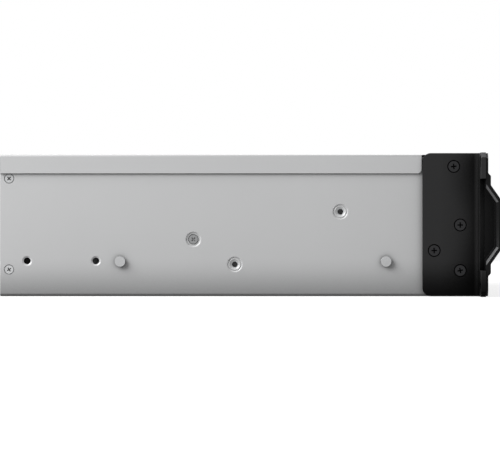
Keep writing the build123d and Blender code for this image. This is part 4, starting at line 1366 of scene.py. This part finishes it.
def blocks(name, shapes, width, slot, *stands_for, segments=2):
    piece = soften(solid_of(name, shapes), width * MM, segments)
    return finish_piece(piece, "chassis", slot, *stands_for)


def cans(material):
    can = Branch("cans", Radius=3.1 * MM, Height=8.0 * MM)
    radius, height = can.given("Radius"), can.given("Height")
    sizes = {"Vertices": 20, "Radius": radius, "Depth": height}
    drum = can.node("GeometryNodeMeshCylinder", {}, sizes)
    body = can.moved(drum, Translation=can.vector(Z=can.times(height, 0.5)))
    sizes = {"Vertices": 20, "Radius": can.times(radius, 0.86), "Depth": 0.3 * MM}
    lid = can.node("GeometryNodeMeshCylinder", {}, sizes)
    crown = can.moved(lid, Translation=can.vector(Z=height))
    both = can.node("GeometryNodeJoinGeometry", {}, {0: [body, crown]})
    return can.close(on_points(can, both), material)


finish_piece(rounded("mainboard", "main_board", 0.12, 1), "chassis", "board_green", "mainboard")
chips = [block(x, y, width, length, SUNK_IN, high) for (x, y), (width, length), high in CHIPS]
chips += [block(x, y, 6.8, 6.8, SUNK_IN, 4.6) for x, y in COILS]
blocks("board_chips", chips, 0.3, "inlet_black")

spots = [(x, y) for x in (-203, -193) for y in (210, 219, 228, 237, 246)] + [(-92, 219), (-92, 241)]
places = [(x * MM, y * MM, BOARD_TOP * MM) for x, y in spots]
capacitors = cans(sink_metal).grow(guide_of("capacitors", places, (0.0, 0.0, 0.0)))
finish_piece(smooth_curves(capacitors, 40), "chassis", "sink_metal")
print("chips", len(chips), "capacitors", len(places))

# %% [markdown]
# Each memory module is a thin board in a black socket with a clip at either end, and carries
# a row of eight chips on both faces.

# %% Memory
modules_low, modules_high = (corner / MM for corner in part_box("memory_modules"))
MODULE_X = (modules_low.x + modules_high.x) / 2
MODULE_SPAN = modules_high.x - modules_low.x
MODULE_HEIGHT = modules_high.z - BOARD_TOP
CHIP_SPAN = MODULE_SPAN - 28.0
clip_x = (MODULE_X - MODULE_SPAN / 2 + 2.8, MODULE_X + MODULE_SPAN / 2 - 2.8)
sockets, sheets, memory_chips = [], [], []
for y in (modules_low.y + 3.2, modules_high.y - 3.2):
    sockets.append(block(MODULE_X, y, MODULE_SPAN, 6.4, 0.0, 6.2))
    sockets += [block(x, y, 5.2, 4.8, 0.0, 17.0) for x in clip_x]
    sheets.append(block(MODULE_X, y, MODULE_SPAN - 9.2, 1.2, 2.0, MODULE_HEIGHT))
    for index in range(8):
        x = MODULE_X + CHIP_SPAN * (index / 7 - 0.5)
        memory_chips.append(block(x, y, 10.0, 3.4, MODULE_HEIGHT - 18.0, MODULE_HEIGHT - 6.0))
blocks("memory_sockets", sockets, 0.35, "inlet_black")
blocks("memory_sheets", sheets, 0.15, "board_green", "memory_modules", segments=1)
blocks("memory_chips", memory_chips, 0.2, "inlet_black", segments=1)
print("memory chips", len(memory_chips))

# %% [markdown]
# The object's box is measured again, and its growth over the imported box is printed.
# Nothing that was added may grow the object.

# %% Sizes, and the end
seen_low, seen_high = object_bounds()
growth = [(seen_high[i] - seen_low[i]) - (cad_high[i] - cad_low[i]) for i in range(3)]
print("grown by", [round(amount, 5) for amount in growth])
